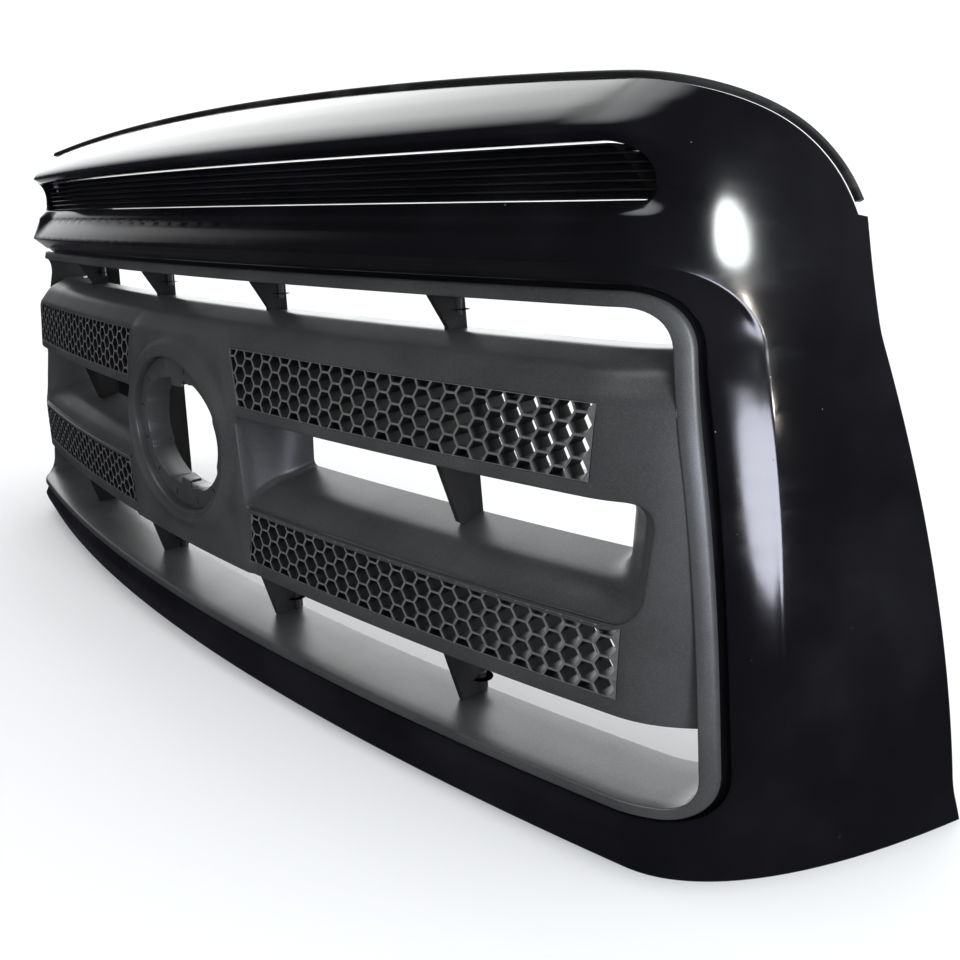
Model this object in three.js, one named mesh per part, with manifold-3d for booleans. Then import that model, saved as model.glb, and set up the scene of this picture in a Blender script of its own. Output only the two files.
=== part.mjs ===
// Front grille of a pickup: gloss surround, hood seal, louvre panel, insert frame, bar panel with
// four honeycomb screens, emblem seat, support posts, brackets and fasteners.
// Millimetres, +Z up, the grille faces -Y and stands on the lower edge of its surround.
import * as THREE from 'three';
import { mergeVertices } from 'three/addons/utils/BufferGeometryUtils.js';
import Module from 'manifold-3d';

const wasm = await Module();
wasm.setup();

// ---------------------------------------------------------------- driving dimensions
const GAP = 0.3; // clearance between touching pieces
const FACET = 0.1; // how far a flat facet may stand off the true surface
const SHELL_FACET = 0.06;
const FOOT_HALF_WIDTH = 656; // half width of the surround at the floor
const HEIGHT = 516; // top of the surround at the centre line
const SHELL_WALL = 3;

// Plan: a shallow parabola across the front, then a corner that sweeps back to the fender.
const BOW = { rise: 32.5, span: 420 };
const CORNER = { startX: 509, depth: 179.4, softening: 0.35, maxLean: 60 };
// The sides lean inwards with height: linear plus square term.
const LEAN = { linear: 0.1127, square: 0.000372 };
const SHOULDER_FLARE = { fromZ: 345, rate: 0.2, ease: 20 }; // the rear edge leans in less near the shoulder

// Front profile of the surround at the centre line, as [z, y] knots.
const SHELL_FRONT = [[0, -33], [35, -46], [395, -19], [420, 4], [436, 2], [468, -14], [480, -2],
  [500, 26], [HEIGHT, 55]];
// The same profile past the scoop's ends, where the creases have faded out.
const PILLAR_FRONT = [[0, -33], [35, -46], [395, -19], [430, -13], [465, -4], [490, 12], [505, 28],
  [HEIGHT, 43]];
const CREASE_FADE = { from: 420, to: 500 };
// Front plane of the insert frame and of the bar panel, as [z, y] knots.
const RIM_FRONT = [[30, -46], [47, -44], [172, -32], [313, -24], [382, -4], [400, 0]];
const FACE_FRONT = [[108, -28], [172, -29], [263, -25], [313, -21]];

const OPENING = { bottom: 47, top: 382, cornerLow: 34, cornerHigh: 38 };
const OPENING_SIDE = { foot: 570.3, linear: 0.125, square: 0.000148 };
const BEVEL = { side: 24, top: 13, bottom: 11, flange: 12, lip: 6.5, lipWall: 3 };
const RIM = { clearance: 3.4, side: 13, top: 13, bottom: 11, wall: 3, rearY: 38, ledgeRearY: 24 };
const SEAM = 0.4; // between the insert frame and the bar panel

const SCOOP = { halfWidth: 478, bottom: 430, top: 463, recess: 17, lipTop: 5, lipBottom: 9, flange: 19 };
const SLATS = { count: 6, depth: 12, thickness: 2, backing: 2.2, setBack: 12 };

const BARS = { wall: 3, ledgeRearY: 40, undersideRearY: 26 };
const POCKET = { inX: 113, inTopX: 104, outX: 503, bottom: 172, top: 253, cornerOut: 26, cornerIn: 5 };
const POST = { xs: [-315, -105, 105, 315], splay: 0.00034, thickness: 4, top: 368.7, bottom: 58.3, rearY: 35,
  screwTopY: 29, screwLowY: 17, boss: 4.5, bossDepth: 16, notch: 12 };
const CELL = { side: 16.2, wall: 3, depth: 14 };
const SCREENS = [
  { name: 'upper', bottom: 263, top: 313, inLow: 111, inHigh: 99, out: 465 },
  { name: 'lower', bottom: 121, top: 172, inLow: 117, inHigh: 125, out: 493 },
];
const EMBLEM = { z: 220, ring: [102, 90], seat: [86, 75], hole: [74, 58], depth: 9, tube: 22,
  faceY: -33, backY: -16, flange: 6 };

const EAR = { xs: [-390, -150, 150, 390], width: 26, thickness: 3, topZ: 402, lowZ: 24, topY: 24, lowY: 8 };
const BOSS = { radius: 6, pilot: 2.1, pilotDepth: 14 };
const SCREW = { shank: 1.8, head: 5, headHeight: 3, length: 15 };
const SKIN_BITE = 1.5; // how deep behind the skin's face a boss or lug begins
const TAB = { xs: [-380, -130, 130, 380], width: 40, depth: 44, thickness: 3, hole: 4.5, padX: 15, padWidth: 9,
  padLength: 24, padHeight: 1.2 };
const BRACKET = { x: 558, zs: [195, 235], y: 152, web: 30, leg: 34, sheet: 2, margin: 12, hole: 3.5 };

// ---------------------------------------------------------------- small helpers
function toSolid(geometry) {
  const bare = geometry.clone();
  bare.deleteAttribute('normal');
  bare.deleteAttribute('uv');
  const merged = mergeVertices(bare, 1e-4);
  return new wasm.Manifold(new wasm.Mesh({
    numProp: 3,
    vertProperties: new Float32Array(merged.attributes.position.array),
    triVerts: new Uint32Array(merged.index.array),
  }));
}

function toGeometry(solid) {
  const mesh = solid.getMesh();
  const geometry = new THREE.BufferGeometry();
  geometry.setAttribute('position', new THREE.BufferAttribute(new Float32Array(mesh.vertProperties), 3));
  geometry.setIndex(new THREE.BufferAttribute(new Uint32Array(mesh.triVerts), 1));
  return geometry;
}

// Value at `at` of a broken line given as [position, value] knots.
function along(knots, at) {
  for (let i = 1; i < knots.length; i += 1) {
    const [a, va] = knots[i - 1];
    const [b, vb] = knots[i];
    if (at <= b || i === knots.length - 1) return va + ((vb - va) * (at - a)) / (b - a);
  }
  return knots[0][1];
}

function shapeOf(points, holes = []) {
  const shape = new THREE.Shape(points.map(([x, y]) => new THREE.Vector2(x, y)));
  holes.forEach((hole) => shape.holes.push(new THREE.Path(hole.map(([x, y]) => new THREE.Vector2(x, y)))));
  return shape;
}

// A plate whose outline is in X and Z, filling y0 to y1.
function plate(points, y0, y1, holes = []) {
  const geometry = new THREE.ExtrudeGeometry(shapeOf(points, holes), { depth: y1 - y0, bevelEnabled: false });
  geometry.rotateX(Math.PI / 2);
  geometry.translate(0, y1, 0);
  return toSolid(geometry);
}

// A prism whose outline is in Y and Z, filling x0 to x1.
function prism(points, x0, x1) {
  const geometry = new THREE.ExtrudeGeometry(shapeOf(points), { depth: x1 - x0, bevelEnabled: false });
  const turn = new THREE.Matrix4().makeBasis(
    new THREE.Vector3(0, 1, 0), new THREE.Vector3(0, 0, 1), new THREE.Vector3(1, 0, 0));
  geometry.applyMatrix4(turn);
  geometry.translate(x0, 0, 0);
  return toSolid(geometry);
}

function box(x0, x1, y0, y1, z0, z1) {
  const geometry = new THREE.BoxGeometry(x1 - x0, y1 - y0, z1 - z0);
  geometry.translate((x0 + x1) / 2, (y0 + y1) / 2, (z0 + z1) / 2);
  return toSolid(geometry);
}

function cylinderY(radius, x, z, y0, y1, sides = 8) {
  const geometry = new THREE.CylinderGeometry(radius, radius, y1 - y0, sides);
  geometry.translate(x, (y0 + y1) / 2, z);
  return toSolid(geometry);
}

function cylinderZ(radius, x, y, z0, z1, sides = 12) {
  const geometry = new THREE.CylinderGeometry(radius, radius, z1 - z0, sides);
  geometry.rotateX(Math.PI / 2);
  geometry.translate(x, y, (z0 + z1) / 2);
  return toSolid(geometry);
}

// Skins a row of rings, each with the same number of points. A closed row needs no caps.
function loft(rings, closed) {
  const count = rings[0].length;
  const positions = rings.flat().flatMap((p) => [p.x, p.y, p.z]);
  const index = [];
  const rows = closed ? rings.length : rings.length - 1;
  for (let r = 0; r < rows; r += 1) {
    const next = (r + 1) % rings.length;
    for (let i = 0; i < count; i += 1) {
      const j = (i + 1) % count;
      index.push(r * count + i, r * count + j, next * count + j);
      index.push(r * count + i, next * count + j, next * count + i);
    }
  }
  if (!closed) {
    for (let i = 1; i < count - 1; i += 1) {
      const last = (rings.length - 1) * count;
      index.push(0, i + 1, i);
      index.push(last, last + i, last + i + 1);
    }
  }
  const geometry = new THREE.BufferGeometry();
  geometry.setAttribute('position', new THREE.BufferAttribute(new Float32Array(positions), 3));
  geometry.setIndex(index);
  const solid = toSolid(geometry);
  if (solid.volume() > 0) return solid;
  geometry.setIndex([...index].reverse());
  return toSolid(geometry);
}

// Cuts every triangle of a mesh at the given planes, so that the mesh can bend there.
function cutAtPlanes(points, triangles, axis, planes) {
  let faces = triangles;
  planes.forEach((at) => {
    const cuts = new Map();
    const side = (i) => {
      const d = points[i][axis] - at;
      return Math.abs(d) < 0.02 ? 0 : Math.sign(d);
    };
    const cut = (i, j) => {
      const [a, b] = i < j ? [i, j] : [j, i];
      const key = `${a}_${b}`;
      if (!cuts.has(key)) {
        const t = (at - points[a][axis]) / (points[b][axis] - points[a][axis]);
        points.push(points[a].map((v, k) => v + t * (points[b][k] - v)));
        cuts.set(key, points.length - 1);
      }
      return cuts.get(key);
    };
    const next = [];
    faces.forEach((face) => {
      const signs = face.map(side);
      if (!(signs.includes(1) && signs.includes(-1))) {
        next.push(face);
        return;
      }
      const zero = signs.indexOf(0);
      if (zero >= 0) {
        const [a, b, c] = [face[zero], face[(zero + 1) % 3], face[(zero + 2) % 3]];
        const m = cut(b, c);
        next.push([a, b, m], [a, m, c]);
        return;
      }
      const lone = signs.findIndex((s) => signs.filter((o) => o === s).length === 1);
      const [a, b, c] = [face[lone], face[(lone + 1) % 3], face[(lone + 2) % 3]];
      const ab = cut(a, b);
      const ac = cut(a, c);
      next.push([a, ab, ac], [ab, b, c], [ab, c, ac]);
    });
    faces = next;
  });
  return faces;
}

// Slices a flat solid at stations in X and Z and moves each vertex in Y by the given function.
function bend(solid, moveY, zs, xs = STATIONS, facet = FACET) {
  const mesh = solid.getMesh();
  const points = [];
  for (let i = 0; i < mesh.vertProperties.length; i += mesh.numProp) {
    points.push([...mesh.vertProperties.slice(i, i + 3)]);
  }
  let faces = [];
  for (let i = 0; i < mesh.triVerts.length; i += 3) faces.push([...mesh.triVerts.slice(i, i + 3)]);
  faces = cutAtPlanes(points, faces, 0, xs);
  faces = cutAtPlanes(points, faces, 2, zs);
  const geometry = new THREE.BufferGeometry();
  const moved = points.flatMap(([x, y, z]) => [x, moveY(x, y, z), z]);
  geometry.setAttribute('position', new THREE.BufferAttribute(new Float32Array(moved), 3));
  geometry.setIndex(faces.flat());
  return outerBody(toSolid(geometry).simplify(facet));
}

// The largest body of a solid, without the pin-hole cavities that a union can leave.
function outerBody(solid) {
  return solid.decompose().reduce((best, body) => (body.volume() > best.volume() ? body : best));
}

// Every bent piece is sliced at the same stations, so that neighbours keep their clearance.
const HALF_STATIONS = [0, 80, 160, 240, 320, 400, 432, 455, 478, 504, 534, 570, 610];
const STATIONS = [...HALF_STATIONS.slice(1).map((x) => -x).reverse(), ...HALF_STATIONS];

// ---------------------------------------------------------------- the common surfaces
function leanIn(z) {
  return LEAN.linear * z + LEAN.square * z * z;
}

// How far the front has swept back at x, the same for every piece of the grille.
function bow(x, z) {
  const lean = leanIn(z);
  const start = CORNER.startX - lean / (1 + (lean / CORNER.maxLean) ** 4) ** 0.25;
  const share = Math.max(0, Math.abs(x) - start) / (rearEdgeX(z) - start);
  const depth = CORNER.depth * (1 - (CORNER.softening * z) / HEIGHT);
  return BOW.rise * (x / BOW.span) ** 2 + depth * share * share;
}

function shellSkin(x, z) {
  const { from, to } = CREASE_FADE;
  const t = THREE.MathUtils.smoothstep(Math.abs(x), from, to);
  return THREE.MathUtils.lerp(along(SHELL_FRONT, z), along(PILLAR_FRONT, z), t) + bow(x, z);
}

function rearEdgeX(z) {
  const above = Math.max(0, z - SHOULDER_FLARE.fromZ);
  return FOOT_HALF_WIDTH - leanIn(z) + (SHOULDER_FLARE.rate * above * above) / (above + SHOULDER_FLARE.ease);
}

function openingSideX(z) {
  return OPENING_SIDE.foot - OPENING_SIDE.linear * z - OPENING_SIDE.square * z * z;
}

// Right half of a rounded outline from bottom centre to top centre, mirrored into a closed loop.
function mirrored(half) {
  const left = half.filter(([x]) => x > 1e-6).map(([x, z]) => [-x, z]).reverse();
  return [...half, ...left];
}

function roundCorner(from, corner, to, count) {
  const curve = new THREE.QuadraticBezierCurve(
    new THREE.Vector2(...from), new THREE.Vector2(...corner), new THREE.Vector2(...to));
  return curve.getPoints(count).map((p) => [p.x, p.y]);
}

// The main opening's outline grown outwards by the given margins.
function openingOutline(side, top, bottom) {
  const low = OPENING.bottom - bottom;
  const high = OPENING.top + top;
  const x = (z) => openingSideX(z) + side;
  const lowR = OPENING.cornerLow + Math.min(side, bottom);
  const highR = OPENING.cornerHigh + Math.min(side, top);
  const half = [[0, low]];
  half.push(...roundCorner([x(low) - lowR, low], [x(low), low], [x(low + lowR), low + lowR], 5));
  for (let i = 1; i < 6; i += 1) {
    const z = low + lowR + ((high - highR - low - lowR) * i) / 6;
    half.push([x(z), z]);
  }
  half.push(...roundCorner([x(high - highR), high - highR], [x(high), high], [x(high) - highR, high], 5));
  half.push([0, high]);
  return mirrored(half);
}

// ---------------------------------------------------------------- surround
// Height of the hood edge over x: a shallow arch that drops round the shoulder.
const SHOULDER = { x: 552, z: 421, arch: 14.6, power: 22 };

function hoodEdge(x) {
  const crown = HEIGHT - SHOULDER.arch * (x / BOW.span) ** 2;
  const drop = (crown - SHOULDER.z) * (Math.abs(x) / SHOULDER.x) ** SHOULDER.power;
  return crown - drop;
}

function shellOutline(inset = 0) {
  const half = [[0, 0]];
  for (let i = 0; i <= 10; i += 1) {
    const z = (SHOULDER.z * i) / 10;
    half.push([rearEdgeX(z) - inset, z]);
  }
  half.push([SHOULDER.x + 0.5 - inset, SHOULDER.z + 3]);
  for (let i = 1; i <= 14; i += 1) {
    const x = SHOULDER.x * Math.cos((Math.PI / 2) * (i / 14)) ** 0.6;
    half.push([x * (1 - inset / SHOULDER.x), hoodEdge(x) - inset]);
  }
  return mirrored(half);
}

function scoopOutline(grow, below = grow, above = grow) {
  const low = SCOOP.bottom - below;
  const high = SCOOP.top + above;
  const end = SCOOP.halfWidth + grow;
  const lowR = 7 + Math.max(0, grow) / 2;
  const highR = 24 + Math.max(0, grow) / 2;
  const half = [[0, low]];
  half.push(...roundCorner([end - lowR, low], [end, low], [end, low + lowR], 4));
  half.push(...roundCorner([end - 1, high - highR], [end - 4, high], [end - 10 - highR, high], 6));
  half.push([0, high]);
  return mirrored(half);
}

const ringOf = (outline, depth) => outline.map(([x, z]) => new THREE.Vector3(x, depth(x, z), z));

// Grows an outline by a distance along its normals.
function grown(outline, by) {
  const n = outline.length;
  return outline.map(([x, z], i) => {
    const [ax, az] = outline[(i + n - 1) % n];
    const [bx, bz] = outline[(i + 1) % n];
    const length = Math.hypot(bx - ax, bz - az);
    return [x + (by * (bz - az)) / length, z - (by * (bx - ax)) / length];
  });
}

// A funnel wall from the skin at `outer` to `inner`, then straight back as a flange that may end
// in a lip turned inwards to `lipEdge`.
function funnel(outer, inner, depth, flange, lipEdge = inner) {
  const front = ringOf(outer, () => 1.2);
  const edge = ringOf(inner, depth);
  const end = [ringOf(lipEdge, (x, z) => depth(x, z) + flange)];
  if (lipEdge !== inner) {
    const lipFront = (x, z) => depth(x, z) + flange - BEVEL.lipWall;
    end.unshift(ringOf(inner, lipFront), ringOf(lipEdge, lipFront));
  }
  const endOut = ringOf(grown(inner, SHELL_WALL), (x, z) => depth(x, z) + flange);
  const edgeOut = ringOf(grown(inner, SHELL_WALL), (x, z) => depth(x, z) + SHELL_WALL);
  const back = ringOf(grown(outer, SHELL_WALL), () => SHELL_WALL - 0.4);
  return loft([front, edge, ...end, endOut, edgeOut, back], true);
}

function buildSurround() {
  const openingOuter = openingOutline(BEVEL.side, BEVEL.top, BEVEL.bottom);
  const openingInner = openingOutline(0, 0, 0);
  const scoopOuter = scoopOutline(SCOOP.recess, SCOOP.lipBottom, SCOOP.lipTop);
  const scoopInner = scoopOutline(0);
  let flat = plate(shellOutline(), 0, SHELL_WALL, [openingOuter, scoopOuter]);
  const openingDepth = (x, z) => Math.max(5, along(RIM_FRONT, z) - along(SHELL_FRONT, z));
  const lipEdge = openingOutline(-BEVEL.lip, -BEVEL.lip, -BEVEL.lip);
  flat = flat.add(funnel(openingOuter, openingInner, openingDepth, BEVEL.flange, lipEdge));
  flat = flat.add(funnel(scoopOuter, scoopInner, () => 8, SCOOP.flange));
  const stretch = (x, z) => {
    const slope = (shellSkin(Math.abs(x) + 1, z) - shellSkin(Math.abs(x), z));
    return Math.sqrt(1 + slope * slope);
  };
  const move = (x, y, z) => {
    const skin = Math.min(y, SHELL_WALL) * stretch(x, z);
    return shellSkin(x, z) + skin + Math.max(0, y - SHELL_WALL);
  };
  const zs = [35, 120, 210, 300, 395, 408, 420, 436.5, 468, 484, 500];
  let shell = bend(flat, move, zs, STATIONS, SHELL_FACET);
  EAR.xs.forEach((x) => {
    shell = shell.add(bossFor(x, EAR.topZ, EAR.topY - GAP + bow(x, EAR.topZ)));
    shell = shell.add(bossFor(x, EAR.lowZ, EAR.lowY - GAP + bow(x, EAR.lowZ)));
  });
  EAR.xs.forEach((x) => {
    shell = shell.subtract(pilotFor(x, EAR.topZ, EAR.topY));
    shell = shell.subtract(pilotFor(x, EAR.lowZ, EAR.lowY));
  });
  TAB.xs.forEach((x) => {
    shell = shell.add(topTab(x));
  });
  BRACKET.zs.forEach((z) => {
    const post = bossFor(BRACKET.x, z, BRACKET.y - GAP);
    const pilot = cylinderY(BOSS.pilot, BRACKET.x, z, BRACKET.y - BOSS.pilotDepth, BRACKET.y + 5);
    const boss = post.subtract(pilot);
    shell = shell.add(boss).add(mirrorX(boss));
  });
  return outerBody(shell);
}

// A boss whose front end follows the inside of the skin and whose rear end is flat.
function bossFor(x, z, rearY) {
  const sides = 8;
  const circle = Array.from({ length: sides }, (_, i) => {
    const t = (2 * Math.PI * i) / sides;
    return [x + BOSS.radius * Math.cos(t), z + BOSS.radius * Math.sin(t)];
  });
  return loft([ringOf(circle, (px, pz) => shellSkin(px, pz) + SKIN_BITE), ringOf(circle, () => rearY)], false);
}

function pilotFor(x, z, rearY) {
  const rear = rearY + bow(x, z);
  return cylinderY(BOSS.pilot, x, z, rear - BOSS.pilotDepth, rear + 5);
}

// A flat lug behind the hood edge, with the hole for a body fastener.
function tabFrame(x) {
  const z = hoodEdge(x) - 12;
  return { z, rear: shellSkin(x, z) + TAB.depth };
}

function topTab(x) {
  const { z, rear } = tabFrame(x);
  const [x0, x1] = [x - TAB.width / 2, x + TAB.width / 2];
  const layer = (h) => [[x0, shellSkin(x0, h) + SKIN_BITE], [x1, shellSkin(x1, h) + SKIN_BITE], [x1, rear], [x0, rear]]
    .map(([px, py]) => new THREE.Vector3(px, py, h));
  let lug = loft([layer(z - TAB.thickness), layer(z)], false);
  const low = z - TAB.thickness;
  [x - TAB.padX, x + TAB.padX].forEach((px) => {
    const half = TAB.padWidth / 2;
    lug = lug.add(box(px - half, px + half, rear - TAB.padLength - 4, rear - 4, low - TAB.padHeight, low + 1));
  });
  return lug.subtract(cylinderZ(TAB.hole, x, rear - 16, z - 10, z + 10));
}

function buildSeal() {
  const outline = shellOutline();
  const path = outline.filter(([, z]) => z > SHOULDER.z + 8);
  const section = [[0.4, 1], [4, 1], [4.8, 3], [4, 7.5], [0.4, 9.5]];
  const rings = path.map(([x, z], i) => {
    const [ax, az] = path[Math.max(0, i - 1)];
    const [bx, bz] = path[Math.min(path.length - 1, i + 1)];
    const length = Math.hypot(bx - ax, bz - az);
    const nx = (bz - az) / length;
    const nz = -(bx - ax) / length;
    const y = shellSkin(x, z);
    return section.map(([out, back]) => new THREE.Vector3(x + nx * out, y + back, z + nz * out));
  });
  return loft(rings, false);
}

function buildLouvre() {
  const low = SCOOP.bottom + 1;
  const high = SCOOP.top - 1;
  const pitch = (high - low) / SLATS.count;
  const lean = 0.1;
  const front = (z) => SLATS.setBack - lean * (z - low);
  const comb = [[SLATS.setBack + SLATS.depth + SLATS.backing, low]];
  const back = (z) => front(z) + SLATS.depth;
  comb.push([back(high) + SLATS.backing, high], [front(high), high], [front(high), high - SLATS.thickness]);
  comb.push([back(high), high - SLATS.thickness]);
  for (let i = SLATS.count - 1; i > 0; i -= 1) {
    const z = low + i * pitch;
    comb.push([back(z), z + SLATS.thickness / 2], [front(z), z - 1], [front(z), z - 1 - SLATS.thickness]);
    comb.push([back(z), z - SLATS.thickness / 2 - 1]);
  }
  comb.push([back(low), low + SLATS.thickness], [front(low), low + SLATS.thickness], [front(low), low]);
  const flat = prism(comb, -SCOOP.halfWidth, SCOOP.halfWidth)
    .intersect(plate(scoopOutline(-0.5), -50, 80));
  const endWalls = scoopOutline(-0.5);
  const inner = scoopOutline(-3);
  const frame = plate(endWalls, SLATS.setBack - 2, SLATS.setBack + SLATS.depth, [inner]);
  return bend(flat.add(frame), panelLift, []);
}

// ---------------------------------------------------------------- insert frame
function buildInsertFrame() {
  const outline = openingOutline(-RIM.clearance, -RIM.clearance, -RIM.clearance);
  const inner = openingOutline(-RIM.side, -RIM.top, -RIM.bottom);
  const front = (x, z) => along(RIM_FRONT, z);
  const rear = (x, z) => (z < 90 ? RIM.ledgeRearY : RIM.rearY);
  const near = outline.map(([x, z], i) => [x + (inner[i][0] - x) * 0.2, z + (inner[i][1] - z) * 0.2]);
  const far = outline.map(([x, z], i) => [x + (inner[i][0] - x) * 0.85, z + (inner[i][1] - z) * 0.85]);
  const wall = grown(inner, RIM.wall);
  const rings = [
    ringOf(outline, (x, z) => front(x, z) + RIM.wall),
    ringOf(outline, (x, z) => front(x, z) + 1.6),
    ringOf(near, front),
    ringOf(far, front),
    ringOf(inner, (x, z) => front(x, z) + 2),
    ringOf(inner, rear),
    ringOf(wall, rear),
    ringOf(wall, (x, z) => front(x, z) + RIM.wall + 1),
  ];
  const flat = loft(rings, true);
  let frame = bend(flat, panelLift, [90, 150, 210, 270, 330]);
  EAR.xs.forEach((x) => {
    const lift = bow(x, EAR.topZ);
    const half = EAR.width / 2;
    const top = box(x - half, x + half, EAR.topY + lift, EAR.topY + EAR.thickness + lift,
      OPENING.top - RIM.top + 1, EAR.topZ + 10);
    const lowLift = bow(x, EAR.lowZ);
    const low = box(x - half, x + half, EAR.lowY + lowLift, EAR.lowY + EAR.thickness + lowLift,
      EAR.lowZ - 10, OPENING.bottom + RIM.bottom - 1);
    frame = frame.add(top).add(low);
    frame = frame.subtract(cylinderY(BOSS.pilot, x, EAR.topZ, lift - 20, lift + 60));
    frame = frame.subtract(cylinderY(BOSS.pilot, x, EAR.lowZ, lowLift - 20, lowLift + 60));
  });
  POST.xs.forEach((x) => {
    [true, false].forEach((top) => {
      frame = frame.subtract(rodZ(BOSS.pilot, postEnd(x, top), -10, 5));
    });
  });
  return frame;
}

// ---------------------------------------------------------------- bar panel
// Rounded window: low and high inner ends may differ, so its inner side slopes.
function windowOutline(inLow, inHigh, out, bottom, top, rOut, rIn) {
  return [
    [inLow, bottom + rIn], [inLow + rIn, bottom],
    ...roundCorner([out - rOut, bottom], [out, bottom], [out, bottom + rOut], 6),
    ...roundCorner([out, top - rOut * 0.6], [out, top], [out - rOut * 0.6, top], 6),
    [inHigh + rIn, top], [inHigh, top - rIn],
  ];
}

function pocketRings(extra) {
  const stages = [
    { y: -60, inset: 0, low: POCKET.bottom, top: POCKET.top, out: POCKET.outX, r: POCKET.cornerOut },
    { y: -26, inset: 0, low: POCKET.bottom, top: POCKET.top, out: POCKET.outX, r: POCKET.cornerOut },
    { y: -5, inset: 9, low: 191, top: 252, out: 486, r: 20 },
    { y: 8, inset: 17, low: 202, top: 251, out: 475, r: 14 },
    { y: 33, inset: 20, low: 203, top: 250, out: 471, r: 11 },
  ];
  const used = extra > 0 ? stages.slice(1) : [...stages, { ...stages[4], y: 70 }];
  return used.map((s) => {
    const outline = windowOutline(POCKET.inX + s.inset, POCKET.inTopX + s.inset * 1.5, s.out, s.low, s.top,
      s.r, POCKET.cornerIn);
    return ringOf(extra > 0 ? grown(outline, extra) : outline, () => s.y);
  });
}

function mirrorX(solid) {
  return solid.mirror([1, 0, 0]);
}

function barSkin() {
  const w = BARS.wall;
  const outer = [[BARS.ledgeRearY, 343], [16, 343], [8, 341], [-6, 331], [-21, 313], [-25, 263],
    [-29, 172], [-28, 112], [-25, 108], [BARS.undersideRearY, 112]];
  const inner = [[BARS.undersideRearY, 112 + w], [-24, 108 + w], [-26, 172], [-22, 263], [-18, 312],
    [-4, 328], [9, 338], [16, 340], [BARS.ledgeRearY, 340]];
  return prism([...outer, ...inner], -600, 600);
}

function ellipse(a, b, count = 32) {
  return Array.from({ length: count }, (_, i) => {
    const t = (2 * Math.PI * i) / count;
    return [a * Math.cos(t), EMBLEM.z + b * Math.sin(t)];
  });
}

function screenWindow(screen, margin) {
  return [
    [screen.inLow + margin, screen.bottom + margin], [screen.out - margin, screen.bottom + margin],
    [screen.out - margin, screen.top - margin], [screen.inHigh + margin, screen.top - margin],
  ];
}

function panelLift(x, y, z) {
  return y + bow(x, z);
}

function buildBarPanel() {
  const outline = openingOutline(-RIM.side - SEAM, -RIM.top - SEAM, -RIM.bottom - SEAM);
  let flat = barSkin().intersect(plate(outline, -80, 80));
  const liner = loft(pocketRings(BARS.wall), false);
  const voids = loft(pocketRings(0), false);
  flat = flat.add(liner).add(mirrorX(liner));
  flat = flat.subtract(voids).subtract(mirrorX(voids));
  SCREENS.forEach((screen) => {
    const cut = plate(screenWindow(screen, 0), -60, 10);
    flat = flat.subtract(cut).subtract(mirrorX(cut));
  });
  const ring = plate(ellipse(...EMBLEM.ring), EMBLEM.faceY, EMBLEM.backY);
  flat = flat.add(ring).subtract(plate(ellipse(...EMBLEM.seat), -60, 60));
  POST.xs.forEach((x) => {
    flat = flat.subtract(buildPostFlat(x, 2 * GAP));
  });
  return bend(flat, panelLift, [150, 210, 270]);
}

function buildEmblemSeat() {
  const wall = 3;
  const floorY = EMBLEM.faceY + EMBLEM.depth;
  const flangeY = EMBLEM.backY + 2.3; // the bar panel's ring has swept back by 2 mm at its ends
  const grow = ([a, b], by) => ellipse(a + by, b + by);
  const rim = (by) => grow(EMBLEM.seat, by - GAP - 0.1);
  let seat = plate(rim(0), floorY, floorY + wall, [grow(EMBLEM.hole, 0)]);
  seat = seat.add(plate(rim(0), floorY, flangeY + wall, [rim(-wall)]));
  seat = seat.add(plate(rim(EMBLEM.flange), flangeY, flangeY + wall, [rim(-wall)]));
  seat = seat.add(plate(grow(EMBLEM.hole, wall), floorY, floorY + EMBLEM.tube, [grow(EMBLEM.hole, 0)]));
  const [middleA, middleB] = [0, 1].map((k) => (EMBLEM.seat[k] + EMBLEM.hole[k]) / 2);
  for (let i = 0; i < 12; i += 1) {
    const t = ((i + 0.5) * Math.PI) / 6;
    const x = middleA * Math.cos(t);
    const z = EMBLEM.z + middleB * Math.sin(t);
    seat = seat.subtract(box(x - 1.5, x + 1.5, floorY - 5, floorY + 4, z - 3, z + 3));
  }
  const tab = (z) => box(-10, 10, floorY, floorY + wall, z - 7, z + 7);
  return seat.add(tab(EMBLEM.z + EMBLEM.hole[1] - 4)).add(tab(EMBLEM.z - EMBLEM.hole[1] + 4));
}

// ---------------------------------------------------------------- honeycomb screens
function hexagon(cx, cz, radius) {
  return Array.from({ length: 6 }, (_, i) => {
    const t = (Math.PI * i) / 3;
    return [cx + radius * Math.cos(t), cz + radius * Math.sin(t)];
  });
}

function buildScreen(screen) {
  const width = screen.out - screen.inHigh;
  const pitch = CELL.side * 1.5;
  const row = CELL.side * Math.sqrt(3);
  const radius = CELL.side - CELL.wall / Math.sqrt(3);
  let body = plate(screenWindow(screen, GAP), 0.5, CELL.depth);
  const field = plate(screenWindow(screen, 2), -5, CELL.depth + 5);
  const tools = [];
  for (let c = 0; c <= Math.ceil(width / pitch); c += 1) {
    const x = screen.out - 8 - c * pitch;
    const shift = c % 2 ? row / 2 : 0;
    for (let r = 0; r < 4; r += 1) {
      const z = screen.bottom + shift + (r - 0.5) * row;
      tools.push(plate(hexagon(x, z, radius), -2, CELL.depth + 2));
    }
  }
  const cutter = wasm.Manifold.union(tools).intersect(field);
  body = body.subtract(cutter);
  const lift = (x, y, z) => y + along(FACE_FRONT, z) + bow(x, z);
  return bend(body, lift, [], []);
}

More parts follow.
